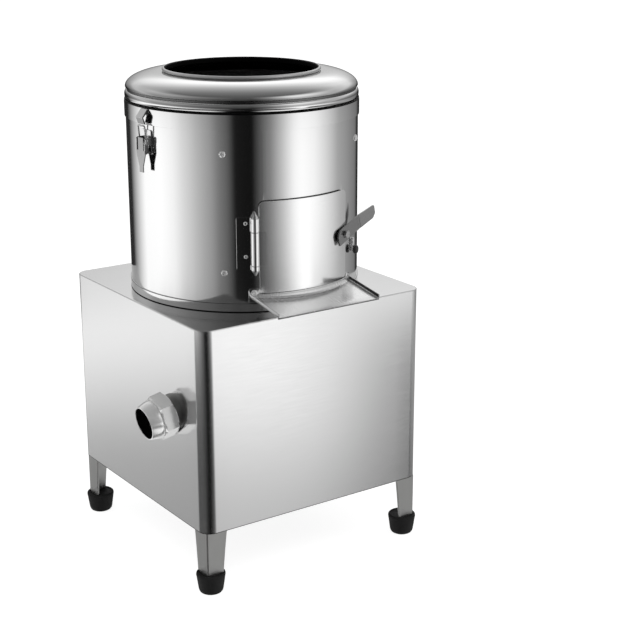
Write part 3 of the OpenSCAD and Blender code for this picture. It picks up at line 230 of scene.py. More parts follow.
cameraSet = {"place": (-1.30416, -2.12207, 1.16669), "azimuth": -35.044, "pitch": 17.136, "lens": 81.56, "sensor": 36}
cameraData = bpy.data.cameras.new("camera")
cameraData.lens = cameraSet["lens"]
cameraData.sensor_width = cameraSet["sensor"]
camera = newObject("camera", cameraData)
camera.location = cameraSet["place"]
camera.rotation_euler = (math.radians(90 - cameraSet["pitch"]), 0, math.radians(cameraSet["azimuth"]))
bpy.context.scene.camera = camera


# materials

def startMaterial(name):
    material = bpy.data.materials.new(name)
    material.use_nodes = True
    tree = material.node_tree
    return material, tree, tree.nodes["Principled BSDF"]


def stretchedNoise(tree, scale, stretch, detail):
    coords = tree.nodes.new("ShaderNodeTexCoord")
    mapping = tree.nodes.new("ShaderNodeMapping")
    mapping.inputs["Scale"].default_value = stretch
    noise = tree.nodes.new("ShaderNodeTexNoise")
    noise.inputs["Scale"].default_value = scale
    noise.inputs["Detail"].default_value = detail
    tree.links.new(coords.outputs["Object"], mapping.inputs["Vector"])
    tree.links.new(mapping.outputs["Vector"], noise.inputs["Vector"])
    return noise


def feed(tree, value, socket):
    if isinstance(value, (int, float, tuple)):
        socket.default_value = value
    else:
        tree.links.new(value, socket)


def rangeOf(tree, socket, low, high, start=0.3, end=0.7, shape="LINEAR"):
    node = tree.nodes.new("ShaderNodeMapRange")
    node.interpolation_type = shape
    for key, value in (("From Min", start), ("From Max", end), ("To Min", low), ("To Max", high), ("Value", socket)):
        feed(tree, value, node.inputs[key])
    return node.outputs["Result"]


def addBump(tree, shader, socket, strength, distance):
    bump = tree.nodes.new("ShaderNodeBump")
    for key, value in (("Strength", strength), ("Distance", distance), ("Height", socket)):
        feed(tree, value, bump.inputs[key])
    tree.links.new(bump.outputs["Normal"], shader.inputs["Normal"])


def mixColours(tree, factor, first, second, blend="MIX"):
    mix = tree.nodes.new("ShaderNodeMix")
    mix.data_type = "RGBA"
    mix.blend_type = blend
    for key, value in (("Factor", factor), ("A", first), ("B", second)):
        feed(tree, value, mix.inputs[key])
    return mix.outputs["Result"]


def mathNode(tree, operation, first, second=None):
    node = tree.nodes.new("ShaderNodeMath")
    node.operation = operation
    feed(tree, first, node.inputs[0])
    if second is not None:
        feed(tree, second, node.inputs[1])
    return node.outputs[0]


def tintedMix(tree, socket, first, second):
    return mixColours(tree, socket, (*first, 1), (*second, 1))


def metal(name, dark, light, roughLow, roughHigh, stretch, bump=0.02, scale=60.0, metallic=1.0):
    # brushed or polished metal: the grain varies its gloss and its bump, a broad cloud varies its tone
    material, tree, shader = startMaterial(name)
    grain = stretchedNoise(tree, scale, stretch, 4)
    cloud = stretchedNoise(tree, 5.0, (1, 1, 1), 2)
    shader.inputs["Metallic"].default_value = metallic
    tree.links.new(rangeOf(tree, grain.outputs["Fac"], roughLow, roughHigh), shader.inputs["Roughness"])
    tree.links.new(tintedMix(tree, cloud.outputs["Fac"], dark, light), shader.inputs["Base Color"])
    addBump(tree, shader, grain.outputs["Fac"], bump, 0.0004)
    return material


def grit(name, dark, light, size, bump):
    material, tree, shader = startMaterial(name)
    cells = tree.nodes.new("ShaderNodeTexVoronoi")
    cells.inputs["Scale"].default_value = size
    coords = tree.nodes.new("ShaderNodeTexCoord")
    tree.links.new(coords.outputs["Object"], cells.inputs["Vector"])
    shader.inputs["Roughness"].default_value = 0.85
    tree.links.new(tintedMix(tree, cells.outputs["Color"], dark, light), shader.inputs["Base Color"])
    addBump(tree, shader, cells.outputs["Distance"], bump, 0.002)
    return material


def moulded(name, dark, light, roughLow, roughHigh, scale=180.0, bump=0.08, gloss=0.5):
    # rubber, plastic or paint with a fine moulded grain
    material, tree, shader = startMaterial(name)
    grain = stretchedNoise(tree, scale, (1, 1, 1), 3)
    shader.inputs["Specular IOR Level"].default_value = gloss
    tree.links.new(rangeOf(tree, grain.outputs["Fac"], roughLow, roughHigh), shader.inputs["Roughness"])
    tree.links.new(tintedMix(tree, grain.outputs["Fac"], dark, light), shader.inputs["Base Color"])
    addBump(tree, shader, grain.outputs["Fac"], bump, 0.0006)
    return material


materials = {
    "polished_steel": metal("polished_steel", (0.81, 0.81, 0.81), (0.85, 0.85, 0.85), 0.08, 0.12, (1, 1, 0.04)),
    "satin_steel": metal("satin_steel", (0.77, 0.77, 0.77), (0.80, 0.80, 0.80), 0.155, 0.185, (0.5, 0.5, 12), 0.003),
    "frame_steel": metal("frame_steel", (0.36, 0.36, 0.355), (0.45, 0.45, 0.44), 0.36, 0.48, (1, 1, 0.3), 0.04),
    "fastener_steel": metal("fastener_steel", (0.62, 0.62, 0.62), (0.74, 0.74, 0.74), 0.15, 0.26, (1, 1, 1), 0.03, 200),
    "cast_housing": metal("cast_housing", (0.30, 0.30, 0.31), (0.40, 0.40, 0.41), 0.45, 0.6, (1, 1, 1), 0.25, 300),
    "abrasive": grit("abrasive", (0.010, 0.010, 0.010), (0.028, 0.027, 0.026), 700, 0.8),
    "abrasive_disc": grit("abrasive_disc", (0.012, 0.012, 0.012), (0.035, 0.034, 0.032), 560, 0.9),
    "black_rubber": moulded("black_rubber", (0.008, 0.008, 0.008), (0.016, 0.016, 0.016), 0.5, 0.7, gloss=0.15),
    "motor_paint": moulded("motor_paint", (0.10, 0.12, 0.14), (0.13, 0.15, 0.17), 0.35, 0.5, 90, 0.05),
    "black_plastic": moulded("black_plastic", (0.012, 0.012, 0.012), (0.022, 0.022, 0.022), 0.3, 0.45, 240, 0.05),
    "green_plastic": moulded("green_plastic", (0.015, 0.20, 0.06), (0.02, 0.25, 0.08), 0.25, 0.35, 120, 0.02),
    "red_plastic": moulded("red_plastic", (0.42, 0.015, 0.012), (0.50, 0.02, 0.015), 0.25, 0.35, 120, 0.02),
}
# painted shade: a dark copy of the steel for the shade in the lid's groove
groovePaintedShade = metal("groove_steel_painted_shade", (0.16, 0.16, 0.16), (0.22, 0.22, 0.22), 0.25, 0.35, (1, 1, 1), 0.005, 200)
# painted shade: near-black steel for the shade along the cabinet's hem, under the chute's lip and inside its right
# flange
darkPaintedShade = metal("dark_steel", (0.05, 0.05, 0.05), (0.09, 0.09, 0.09), 0.25, 0.35, (1, 1, 1), 0.02, 200)
# painted shade: a darker, partly diffuse copy of the polished steel that dims the lid's rolled rim
rimPaintedShade = metal("rim_steel_painted_shade", (0.58, 0.58, 0.58), (0.64, 0.64, 0.64), 0.3, 0.36, (1, 1, 1), 0.01, 200, 0.8)
# painted light: a lighter, partly diffuse copy of the satin steel for the chute, brushed along its width
trayPaintedLight = metal("tray_steel_painted_light", (0.82, 0.82, 0.82), (0.86, 0.86, 0.86), 0.22, 0.28, (12, 0.5, 0.5), 0.003, 60, 0.86)
# painted light: a lighter, partly diffuse copy of the polished steel for the drain nut and nozzle
drainPaintedLight = metal("drain_steel_painted_light", (0.90, 0.90, 0.90), (0.95, 0.95, 0.94), 0.14, 0.20, (1, 1, 1), 0.01, 200, 0.72)
# painted light: a lighter copy of the satin steel for the door
doorPaintedLight = metal("door_steel_painted_light", (0.92, 0.92, 0.92), (0.95, 0.95, 0.95), 0.165, 0.195, (0.5, 0.5, 12), 0.003)
# painted shade: a darker copy of the satin steel for the toggle and latch levers
leverPaintedShade = metal("lever_steel_painted_shade", (0.36, 0.36, 0.36), (0.42, 0.42, 0.42), 0.2, 0.26, (12, 0.5, 0.5), 0.01)
# painted light: a lighter, partly diffuse copy of the fastener steel for the screw heads and the latch keeper
screwPaintedLight = metal("screw_steel_painted_light", (0.88, 0.88, 0.88), (0.94, 0.94, 0.94), 0.24, 0.30, (1, 1, 1), 0.005, 200, 0.8)
# painted shade: black steel for insides and gaps in shade: the lid's throat, lining and seam, the drum's foot, the
# backs of the levers and catches, and the drain's bore
blackPaintedShade = metal("painted_shade_black", (0.008, 0.008, 0.008), (0.014, 0.014, 0.014), 0.5, 0.6, (1, 1, 1), 0.02, 200)
print("materials in the scene:", len(bpy.data.materials))


# cabinet

cabinet = {"half": 225, "corner": 22, "low": 114, "top": 469, "plate": 2, "sheet": 1.5, "hole": 191.2}


def squareRing(half, corner, inset, z, arcSteps=10, sideSteps=12):
    # points round a square with round corners, the same count for every inset
    h, r = half - inset, corner - inset
    points = []
    for k in range(4):
        start = 90 * k
        cx = (h - r) * (1 if k in (0, 3) else -1)
        cy = (h - r) * (1 if k in (0, 1) else -1)
        for i in range(arcSteps + 1):
            a = math.radians(start + 90 * i / arcSteps)
            points.append((cx + r * math.cos(a), cy + r * math.sin(a), z))
        a = math.radians(start + 90)
        last = Vector((cx + r * math.cos(a), cy + r * math.sin(a), z))
        nextX = (h - r) * (1 if (k + 1) % 4 in (0, 3) else -1)
        nextY = (h - r) * (1 if (k + 1) % 4 in (0, 1) else -1)
        first = Vector((nextX + r * math.cos(a), nextY + r * math.sin(a), z))
        points += [tuple(last.lerp(first, i / sideSteps)) for i in range(1, sideSteps)]
    return points


def makeCabinet(c):
    wall = [
        (0.5, c["low"]), (0.15, c["low"] + 0.15), (0, c["low"] + 0.5), (0, c["top"] - c["plate"] - 0.15),
        (0.15, c["top"] - c["plate"]), (c["sheet"], c["top"] - c["plate"]), (c["sheet"], c["low"]),
    ]
    rings = [squareRing(c["half"], c["corner"], inset, z) for inset, z in wall]
    addPiece("cabinetShell", [loft(rings, closeAlong=True)], "machine", ["cabinet_shell"],
             "satin_steel")
    # painted shade: a dark line along the hem, a hair outside the wall, for the shade at the cabinet's lower edge
    hemShade = [squareRing(c["half"], c["corner"], inset, c["low"] + z)
           for inset, z in ((-0.05, 0), (-0.05, 1.1), (0.4, 1.1), (0.4, 0))]
    addPiece("cabinetHemShade", [loft(hemShade, closeAlong=True)], "machine", ["cabinet_shell"], "satin_steel", darkPaintedShade)
    edge = [(c["sheet"], -2), (0.15, -2), (0, -1.85), (0, -1.7)]
    edge += [(1.7 - 1.7 * cosDeg(t), -1.7 + 1.7 * sinDeg(t)) for t in range(15, 91, 15)]
    rings = [squareRing(c["half"], c["corner"], inset, c["top"] + drop) for inset, drop in edge]
    flat = rings[-1]
    for share in (0.02, 1.0):
        hole = []
        for x, y, z in flat:
            reach = math.hypot(x, y)
            to = c["hole"] / reach
            hole.append((x + (x * to - x) * share, y + (y * to - y) * share, z))
        rings.append(hole)
    rings.append([(x, y, z - c["plate"]) for x, y, z in rings[-1]])
    addPiece("cabinetTop", [loft(rings, closeAlong=True)], "machine", ["cabinet_top"],
             "satin_steel", sharp=32)


makeCabinet(cabinet)

# legs and feet

legSet = {"outer": 220, "top": 114, "foot": 12, "wide": 40, "narrow": 30, "thick": 4, "fold": 3.0}
footSet = {"profile": [
    (0, 0), (14, 0), (16.6, 0.4), (18.6, 1.6), (20.2, 3.8), (21.2, 7), (22.4, 15), (23.7, 24), (24.5, 29.5), (25, 32.2),
    (25, 33.8), (24.5, 35.6), (23.4, 36.7), (22, 37), (20.9, 36.6), (19.6, 35.4), (0, 35),
]}
legNames = ["front_left", "front_right", "rear_right", "rear_left"]


def legSection(width, s, z):
    t, r = s["thick"], s["fold"]
    points = [(0, width - 0.8), (0, r)]
    points += [(r - r * cosDeg(a), r - r * sinDeg(a)) for a in (22.5, 45, 67.5)]
    points += [(r, 0), (width - 0.8, 0), (width, 0.8), (width, t - 0.4), (width - 0.5, t), (t + 1.5, t)]
    points += [(t + 0.45, t + 0.45), (t, t + 1.5), (t, width - 0.5), (t - 0.4, width), (0.8, width)]
    return [(x, y, z) for x, y in points]


def makeLegs(s, f):
    for k, name in enumerate(legNames):
        corner = turned(90 * k) @ Matrix.Translation((-s["outer"], -s["outer"], 0))
        rings = []
        for i in range(9):
            share = i / 8
            width = s["narrow"] + (s["wide"] - s["narrow"]) * (0.75 * share + 0.25 * share * share)
            rings.append(legSection(width, s, s["foot"] + (s["top"] - s["foot"]) * share))
        pad = extruded([(3, 0.4), (s["wide"], 0.4), (s["wide"], s["wide"]), (0.4, s["wide"]), (0.4, 3)],
                       s["top"] - s["thick"], s["top"])
        leg = [moved(capped(rings), corner), moved(pad, corner)]
        addPiece(name + "Leg", leg, "machine", [name + "_leg"], "frame_steel", sharp=50)
        foot = moved(lathe(f["profile"], 64, (s["narrow"] / 2, s["narrow"] / 2)), corner)
        addPiece(name + "Foot", [foot], "machine", [name + "_foot"], "black_rubber", sharp=60)


makeLegs(legSet, footSet)
print("cabinet, legs and feet made")

# drum

drum = {
    "r": 200.5, "sheet": 1.5, "low": 469, "top": 799, "openHalf": 78, "openLow": 510, "openHigh": 648, "corner": 6,
    "ringT": 1.5, "ringTop": 485,
}


def makeDrum(d):
    half, corner = d["openHalf"], d["corner"]
    xs = wrapColumns(-half, half, corner)
    openAngles = [math.asin(x / d["r"]) for x in xs]
    edge = openAngles[-1]
    outsideCount = 280
    span = 2 * math.pi - 2 * edge
    columns = [(a, x) for a, x in zip(openAngles, xs)]
    columns += [(edge + span * i / outsideCount, None) for i in range(1, outsideCount)]
    rings = []
    for a, x in columns:
        drop = corner if x is None else cornerDrop(x, -half, half, corner)
        low, high = d["openLow"] + drop, d["openHigh"] - drop
        zs = [d["low"] + (low - d["low"]) * i / 3 for i in range(4)]
        zs += [low + (high - low) * i / 6 for i in range(1, 7)]
        zs += [high + (d["top"] - high) * i / 6 for i in range(1, 7)]
        rings.append([(d["r"] * math.sin(a), -d["r"] * math.cos(a), z) for z in zs])
    verts, faces = loft(rings, closeAround=False, closeAlong=True)
    kept = []
    for face in faces:
        ringA, ringB = face[0] // len(rings[0]), face[2] // len(rings[0])
        row = face[0] % len(rings[0])
        if 3 <= row < 9 and ringA < len(xs) - 1 and ringB <= len(xs) - 1:
            continue
        kept.append(face)
    addPiece("drumShell", [(verts, kept)], "machine", ["drum_shell"],
             "polished_steel", sharp=60, sheet=-d["sheet"])
    outer = d["r"] + d["ringT"]
    ring = [(d["r"], d["low"]), (outer, d["low"])] + arc(outer - 0.7, d["ringTop"] - 0.7, 0.7, 0.7, 0, 90, 4)
    ring += [(d["r"], d["ringTop"])]
    addPiece("drumBaseRing", [lathe(ring, 256)], "machine", ["drum_base_ring"],
             "polished_steel")
    # painted shade: black bands along the base ring's lower edge and just under its top, for the shade at the drum's
    # foot
    footShadeBands = [lathe([(outer - 0.4, z), (outer + 0.1, z), (outer + 0.1, z + h), (outer - 0.4, z + h)], 256)
             for z, h in ((d["low"], 1.4), (d["ringTop"] - 1.1, 0.8))]
    addPiece("drumFootSeams", footShadeBands, "machine", ["drum_base_ring"], "polished_steel", blackPaintedShade)


makeDrum(drum)

screwSet = {
    "r": 5.5, "h": 3.0, "socket": 2.6,
    "liner": {"angles": (41.6, -41.6, 138.4, -138.4), "levels": (536, 734), "stand": 200.5},
    "chute": {"angles": (27.64, -27.64), "levels": (502.2,), "stand": 202.2},
    "hinge": {"angles": (-31.33,), "levels": (564, 620), "stand": 201.0, "share": 0.6},
}


def screwHead(s, stand, share):
    r, h, socket = s["r"] * share, s["h"] * share, s["socket"] * share
    levels = [(r - 0.3, stand - 0.6, 0), (r, stand + 0.1, 0), (r, stand + 0.6, 0)]
    for t in range(15, 75, 10):
        levels.append((r * cosDeg(t) ** 0.7, stand + 0.6 + (h - 0.6) * sinDeg(t), 0))
    levels += [(socket + 0.5, stand + h, 0.4), (socket, stand + h - 0.25, 1), (socket, stand + h - 1.9, 1)]
    return solidOfRings(levels)


def makeScrews(s):
    parts = []
    for group in (s["liner"], s["chute"], s["hinge"]):
        for angle in group["angles"]:
            for z in group["levels"]:
                parts.append(moved(screwHead(s, group["stand"], group.get("share", 1)), outward(angle, z)))
    # painted light: the screw heads get the lighter copy of the fastener steel
    addPiece("drumScrews", parts, "machine", ["drum_screws"], "fastener_steel", screwPaintedLight, sharp=40)


makeScrews(screwSet)
print("drum and screws made")

# lid

lid = {
    "low": 799.3, "r": 200, "bead": 15.5, "groove": 5, "dome": 24.5, "domeW": 60, "mouth": 131, "t": 2, "collar": 0.5,
    "roll": 2.75, "seat": 195.2, "skirtIn": 201, "skirtT": 1.5, "skirtH": 28, "seam": 1.8,
}


def makeLid(s):
    base, r, mouth, t, roll, domeW, domeH = [s[key] for key in ("low", "r", "mouth", "t", "roll", "domeW", "dome")]
    beadR = s["bead"] / 2
    grooveZ = base + s["bead"]
    domeZ = grooveZ + s["groove"]
    grooveR = r - 3.5
    flatZ = domeZ + domeH
    shoulder = r - domeW
    rollZ = flatZ + s["collar"] + roll
    rollStart = math.degrees(math.acos((roll - t) / roll)) - 180
    profile = [(s["seat"], base)]
    profile += arc(r - 2.7, base + beadR, 4.2, beadR, -90, 90, 20)
    profile += [(grooveR, grooveZ + 0.3), (grooveR, domeZ - 2.2), (grooveR + 0.6, domeZ - 1.2),
                (grooveR + 2.6, domeZ - 0.6)]
    profile += arc(shoulder, domeZ, domeW, domeH, 0, 90, 28)
    profile += [(mouth + t + 3, flatZ), (mouth + t, flatZ + 0.1), (mouth + 0.4, flatZ - t)]
    profile += arc(shoulder, domeZ, domeW - t - 2, domeH - t, 90, 0, 16)
    profile += [(s["seat"], domeZ - 1)]
    addPiece("lidRing", [lathe(profile, 256)], "lid", ["lid_ring"], "polished_steel", sharp=38)
    # painted shade: a dark ring set into the groove between the bead and the dome
    groove = [(grooveR - 0.5, grooveZ + 0.3), (grooveR + 0.9, grooveZ + 0.3), (grooveR + 0.9, domeZ - 1.5),
              (grooveR - 0.5, domeZ - 1.5)]
    addPiece("lidGrooveShade", [lathe(groove, 256)], "lid", ["lid_ring"], "polished_steel", groovePaintedShade)
    # the rolled rim, in the darker copy of the polished steel as painted shade
    foot = [(mouth + 0.6, flatZ - t + 0.2), (mouth + t + 0.2, flatZ - t + 0.4), (mouth + t + 0.8, flatZ + 0.2)]
    rim = foot + arc(mouth + roll, rollZ, roll, roll, rollStart + 12, 110, 16) + [(mouth + 1.6, rollZ)]
    addPiece("lidRim", [lathe(rim, 256)], "lid", ["lid_ring"], "polished_steel", rimPaintedShade, sharp=38)
    # painted shade: the inside of the roll down into the mouth is black, for the shade inside the lid
    throat = [(mouth + 1.5, rollZ)] + arc(mouth + roll, rollZ, roll, roll, 110, 180, 8)
    throat += [(mouth, flatZ - t), (mouth + 0.5, flatZ - t)]
    addPiece("lidThroatShade", [lathe(throat, 256)], "lid", ["lid_ring"], "polished_steel", blackPaintedShade, sharp=38)
    # painted shade: a black lining under the dome, for the shade inside the lid
    shadeLining = arc(shoulder, domeZ, domeW - t - 2.1, domeH - t - 0.1, 0, 90, 16)
    shadeLining += [(mouth + 0.2, flatZ - t - 0.1), (mouth + 0.2, flatZ - t - 0.6)]
    shadeLining += arc(shoulder, domeZ, domeW - t - 2.6, domeH - t - 0.6, 90, 0, 16)
    addPiece("lidLiningShade", [lathe(shadeLining, 192)], "lid", ["lid_ring"], "polished_steel", blackPaintedShade, sharp=38)
    outer = s["skirtIn"] + s["skirtT"]
    low, top = base - s["skirtH"], base - s["seam"]
    # a black ring at the skirt's top: the real seam under the bead, widened with painted shade for the shadow under the
    # bead
    seam = [(s["skirtIn"], top), (outer - 0.5, top), (outer - 0.5, base), (s["skirtIn"], base)]
    addPiece("lidSeamShade", [lathe(seam, 256)], "lid", ["lid_skirt"], "polished_steel", blackPaintedShade)
    skirt = [(s["skirtIn"], low)] + arc(outer - 0.2, low + 0.2, 0.2, 0.2, -90, 0, 3)
    skirt += [(outer, top), (s["skirtIn"], top)]
    addPiece("lidSkirt", [lathe(skirt, 256)], "lid", ["lid_skirt"], "polished_steel")


makeLid(lid)

# toggle latches and the lid's catches

toggle = {
    "angle": 84, "r": 209, "z": 747, "l": 54, "w": 24.6, "cheek": 1.3, "plate": 1.5, "wire": 3, "throw": 13,
    "drumR": 200.5, "bailHalf": 9.2, "bailTopR": 210.5, "bailTop": 770.5, "catchW": 18, "catchLow": 773.0,
    "skirtR": 202.5, "lidLow": 799.3,
}


def catchShape(s):
    reach = s["r"] + 6
    mid = (s["lidLow"] + s["catchLow"]) / 2 - 2
    outline = [
        (-s["skirtR"] + 0.4, s["lidLow"] - 2), (-s["skirtR"] - 2, s["lidLow"] - 2), (-reach, mid),
        (-s["r"] - 1.6, s["catchLow"]), (-s["r"] + 1, s["catchLow"]), (-reach + 2.7, mid),
        (-s["skirtR"] - 1, s["lidLow"] - 6.5), (-s["skirtR"] + 0.4, s["lidLow"] - 6.5),
    ]
    half = s["catchW"] / 2
    return capped([[(x, y, z) for y, z in outline] for x in (-half, half)])


def leverShape(s):
    plateR = s["r"] + 2.8
    half = s["w"] / 2
    tongue = s["bailHalf"] - s["wire"] / 2 - 0.3
    lowPivot = s["z"] - s["throw"]
    right = [
        (tongue, s["z"] + 4), (tongue, lowPivot - 4), (half, lowPivot - 4), (half, s["z"] - 0.45 * s["l"]),
        (5.5, s["z"] - s["l"] + 10), (5.5, s["z"] - s["l"]),
    ]
    outline = right + [(-x, z) for x, z in reversed(right)]
    plate = capped([[(x, -r, z) for x, z in outline] for r in (plateR, plateR + s["plate"])])
    # painted shade: a black layer just behind the lever plate, on its side toward the drum
    inset = 0.3
    inside = [(x - math.copysign(inset, x), z + (inset if z < s["z"] - s["l"] + 1 else 0)) for x, z in outline]
    shadeLining = capped([[(x, -r, z) for x, z in inside] for r in (plateR - 0.25, plateR - 0.02)])
    parts = [plate]
    low, high = lowPivot - 10, lowPivot + s["throw"] + 3.5
    back, front = s["r"] - 2.9, plateR + s["plate"]
    side = [(back, low + 3), (back + 3, low), (front, low), (front, high), (back + 3, high), (back, high - 3)]
    for m in (-1, 1):
        rings = [[(x * m, -r, z) for r, z in side] for x in (half - s["cheek"], half)]
        parts.append(capped(rings))
    return parts, shadeLining


# painted shade: a black layer along the catch's inner face, toward the drum
def catchInside(s):
    reach = s["r"] + 6
    mid = (s["lidLow"] + s["catchLow"]) / 2 - 2
    path = [(-s["r"] + 1, s["catchLow"]), (-reach + 2.7, mid), (-s["skirtR"] - 1, s["lidLow"] - 6.5)]
    outline = path + [(y + 0.4, z - (0.3 if i == 0 else 0)) for i, (y, z) in enumerate(reversed(path))]
    half = s["catchW"] / 2 - 0.3
    return capped([[(x, y, z) for y, z in outline] for x in (-half, half)])


def bailShape(s):
    lowR, lowZ = s["r"] - 2, s["z"] - s["throw"]
    rise = s["bailTop"] - lowZ
    lean = math.atan((s["bailTopR"] - lowR) / rise)
    length = math.hypot(rise, s["bailTopR"] - lowR)
    half, bend, footBend = s["bailHalf"], s["wire"], s["wire"] / 2 + 0.2
    right = [(s["w"] / 2 - 0.1, 0), (half + footBend, 0)]
    right += [(half + footBend - footBend * sinDeg(t), footBend - footBend * cosDeg(t))
              for t in (22, 45, 68, 90)]
    right += [(half, length * 0.4), (half, length - bend)]
    right += [(half - bend + bend * cosDeg(t), length - bend + bend * sinDeg(t))
              for t in (18, 36, 54, 72, 90)]
    path = right + [(-x, z) for x, z in reversed(right)]
    points = [(x, -lowR - z * math.sin(lean), lowZ + z * math.cos(lean)) for x, z in path]
    return tubeAlong(points, s["wire"] / 2)


def baseShape(s):
    half = s["w"] / 2 + 1.8
    rings = []
    for x in wrapColumns(-half, half, 3):
        drop = cornerDrop(x, -half, half, 3)
        low, high = s["z"] - 24 + drop, s["z"] + 16 - drop
        back, front = -math.sqrt(s["drumR"] ** 2 - x * x), -s["drumR"] - 1.6
        rings.append([(x, front, low), (x, front, high), (x, back, high), (x, back, low)])
    parts = [capped(rings)]
    inner = s["w"] / 2 + 0.3
    wall = s["drumR"] + 0.5
    side = [(wall, s["z"] - 8), (s["r"] + 1, s["z"] - 8), (s["r"] + 3.5, s["z"] - 5.5), (s["r"] + 3.5, s["z"] + 1.5),
            (s["r"] + 1, s["z"] + 4), (wall, s["z"] + 4)]
    for m in (-1, 1):
        rings = [[(x * m, -r, z) for r, z in side] for x in (inner, inner + 1.5)]
        parts.append(capped(rings))
        pin = solidOfRings([(1.2, inner - 1.5, 0), (1.5, inner - 1.3, 0), (1.5, inner + 2.0, 0), (1.9, inner + 1.6, 0),
                            (1.7, inner + 2.2, 0), (0.9, inner + 2.6, 0)], 20)
        aside = Matrix.Translation((0, -s["r"], s["z"])) @ Matrix.Rotation(math.radians(90 * m), 4, "Y")
        parts.append(moved(pin, aside))
    return parts


def makeToggles(s):
    catches, catchShades, bases = [], [], []
    for side, sign in (("left", -1), ("right", 1)):
        at = turned(sign * s["angle"])
        catches.append(moved(catchShape(s), at))
        catchShades.append(moved(catchInside(s), at))
        plates, shadeLining = leverShape(s)
        bases += [moved(part, at) for part in baseShape(s)]
        # painted shade: the levers get the darker copy of the satin steel
        addPiece(side + "ToggleLever", [moved(part, at) for part in plates], side + "_toggle",
                 [side + "_toggle_lever"], "satin_steel", leverPaintedShade, bevel=0.35)
        # painted shade: the black layer behind each lever plate
        addPiece(side + "ToggleBack", [moved(shadeLining, at)], side + "_toggle", [side + "_toggle_lever"], "satin_steel",
                 blackPaintedShade)
        addPiece(side + "ToggleBail", [moved(bailShape(s), at)], side + "_bail", [side + "_toggle_bail"],
                 "fastener_steel", sharp=60)
    addPiece("lidCatches", catches, "lid", ["lid_catches"], "polished_steel", bevel=0.4)
    # painted shade: the black layers inside the catches
    addPiece("catchInsideShades", catchShades, "lid", ["lid_catches"], "polished_steel", blackPaintedShade)
    addPiece("toggleBases", bases, "machine", ["toggle_bases"], "satin_steel", bevel=0.3)


makeToggles(toggle)
print("lid and toggle latches made")

# door, hinge and latch

door = {"half": 87, "low": 502, "high": 657, "corner": 9, "inner": 204, "outer": 205.5}
doorSheet = wrapPanel(-door["half"], door["half"], *[door[key] for key in ("low", "high", "corner", "inner", "outer")])
# painted light: the door gets the lighter copy of the satin steel
addPiece("doorPanel", [doorSheet], "door", ["door_panel"], "satin_steel", doorPaintedLight, bevel=0.4)

hinge = {"x": -95, "y": -185.6, "r": 6.5, "low": 542, "high": 630, "split": 607, "foot": 550, "cap": 9, "leaf": 0.5,
         "doorR": 205.5, "drumR": 200.5}


def barrel(s, low, high):
    r = s["r"]
    profile = [(0, low), (r - 0.6, low), (r - 0.15, low + 0.15), (r, low + 0.6), (r, high - 0.6),
               (r - 0.15, high - 0.15), (r - 0.6, high), (0, high)]
    return lathe(profile, 40, (s["x"], s["y"]))


def makeHinge(s):
    low, high = s["foot"] + 0.3, s["split"] - 0.3
    parts = [barrel(s, low, high)]
    parts.append(wrapPanel(s["x"], s["x"] + 20, low, high, 2, s["doorR"], s["doorR"] + s["leaf"]))
    bright = materials["polished_steel"]
    addPiece("doorHingeLeaf", parts, "door", ["door_hinge_leaf"], "satin_steel", bright, sharp=40)
    parts = [barrel(s, s["low"], s["foot"]), barrel(s, s["split"], s["high"])]
    parts.append(wrapPanel(s["x"] - 22, s["x"] + 4, s["low"], s["high"], 2, s["drumR"], s["drumR"] + s["leaf"]))
    for a, b in ((s["low"], s["foot"]), (s["split"], s["high"])):
        parts.append(wrapPanel(s["x"] - 3.25, s["x"] + 3.25, a + 0.2, b - 0.2, 0, s["drumR"] + 0.5, s["drumR"] + 6.5))
    addPiece("drumHingeLeaf", parts, "machine", ["drum_hinge_leaf"], "satin_steel", bright, sharp=40)
    r = s["r"] - 0.5
    caps = []
    for base, way in ((s["low"], -1), (s["high"], 1)):
        cap = [(0, 0), (r - 0.3, 0), (r, 0.4), (r, 1), (r * 0.72, 3.4), (r * 0.45, 6), (1.3, s["cap"] - 0.6),
               (0.7, s["cap"] - 0.1), (0, s["cap"])]
        caps.append(lathe([(x, base + z * way) for x, z in cap], 40, (s["x"], s["y"])))
    addPiece("hingePin", caps, "machine", ["hinge_pin"], "fastener_steel", sharp=50)


makeHinge(hinge)

latch = {"angle": 22.61, "z": 581, "rise": 16, "inner": 208, "t": 3, "w": 25, "tail": 22, "bend": 46, "bendAngle": 6,
         "l": 93, "bolt": 8, "doorOut": 205.5}


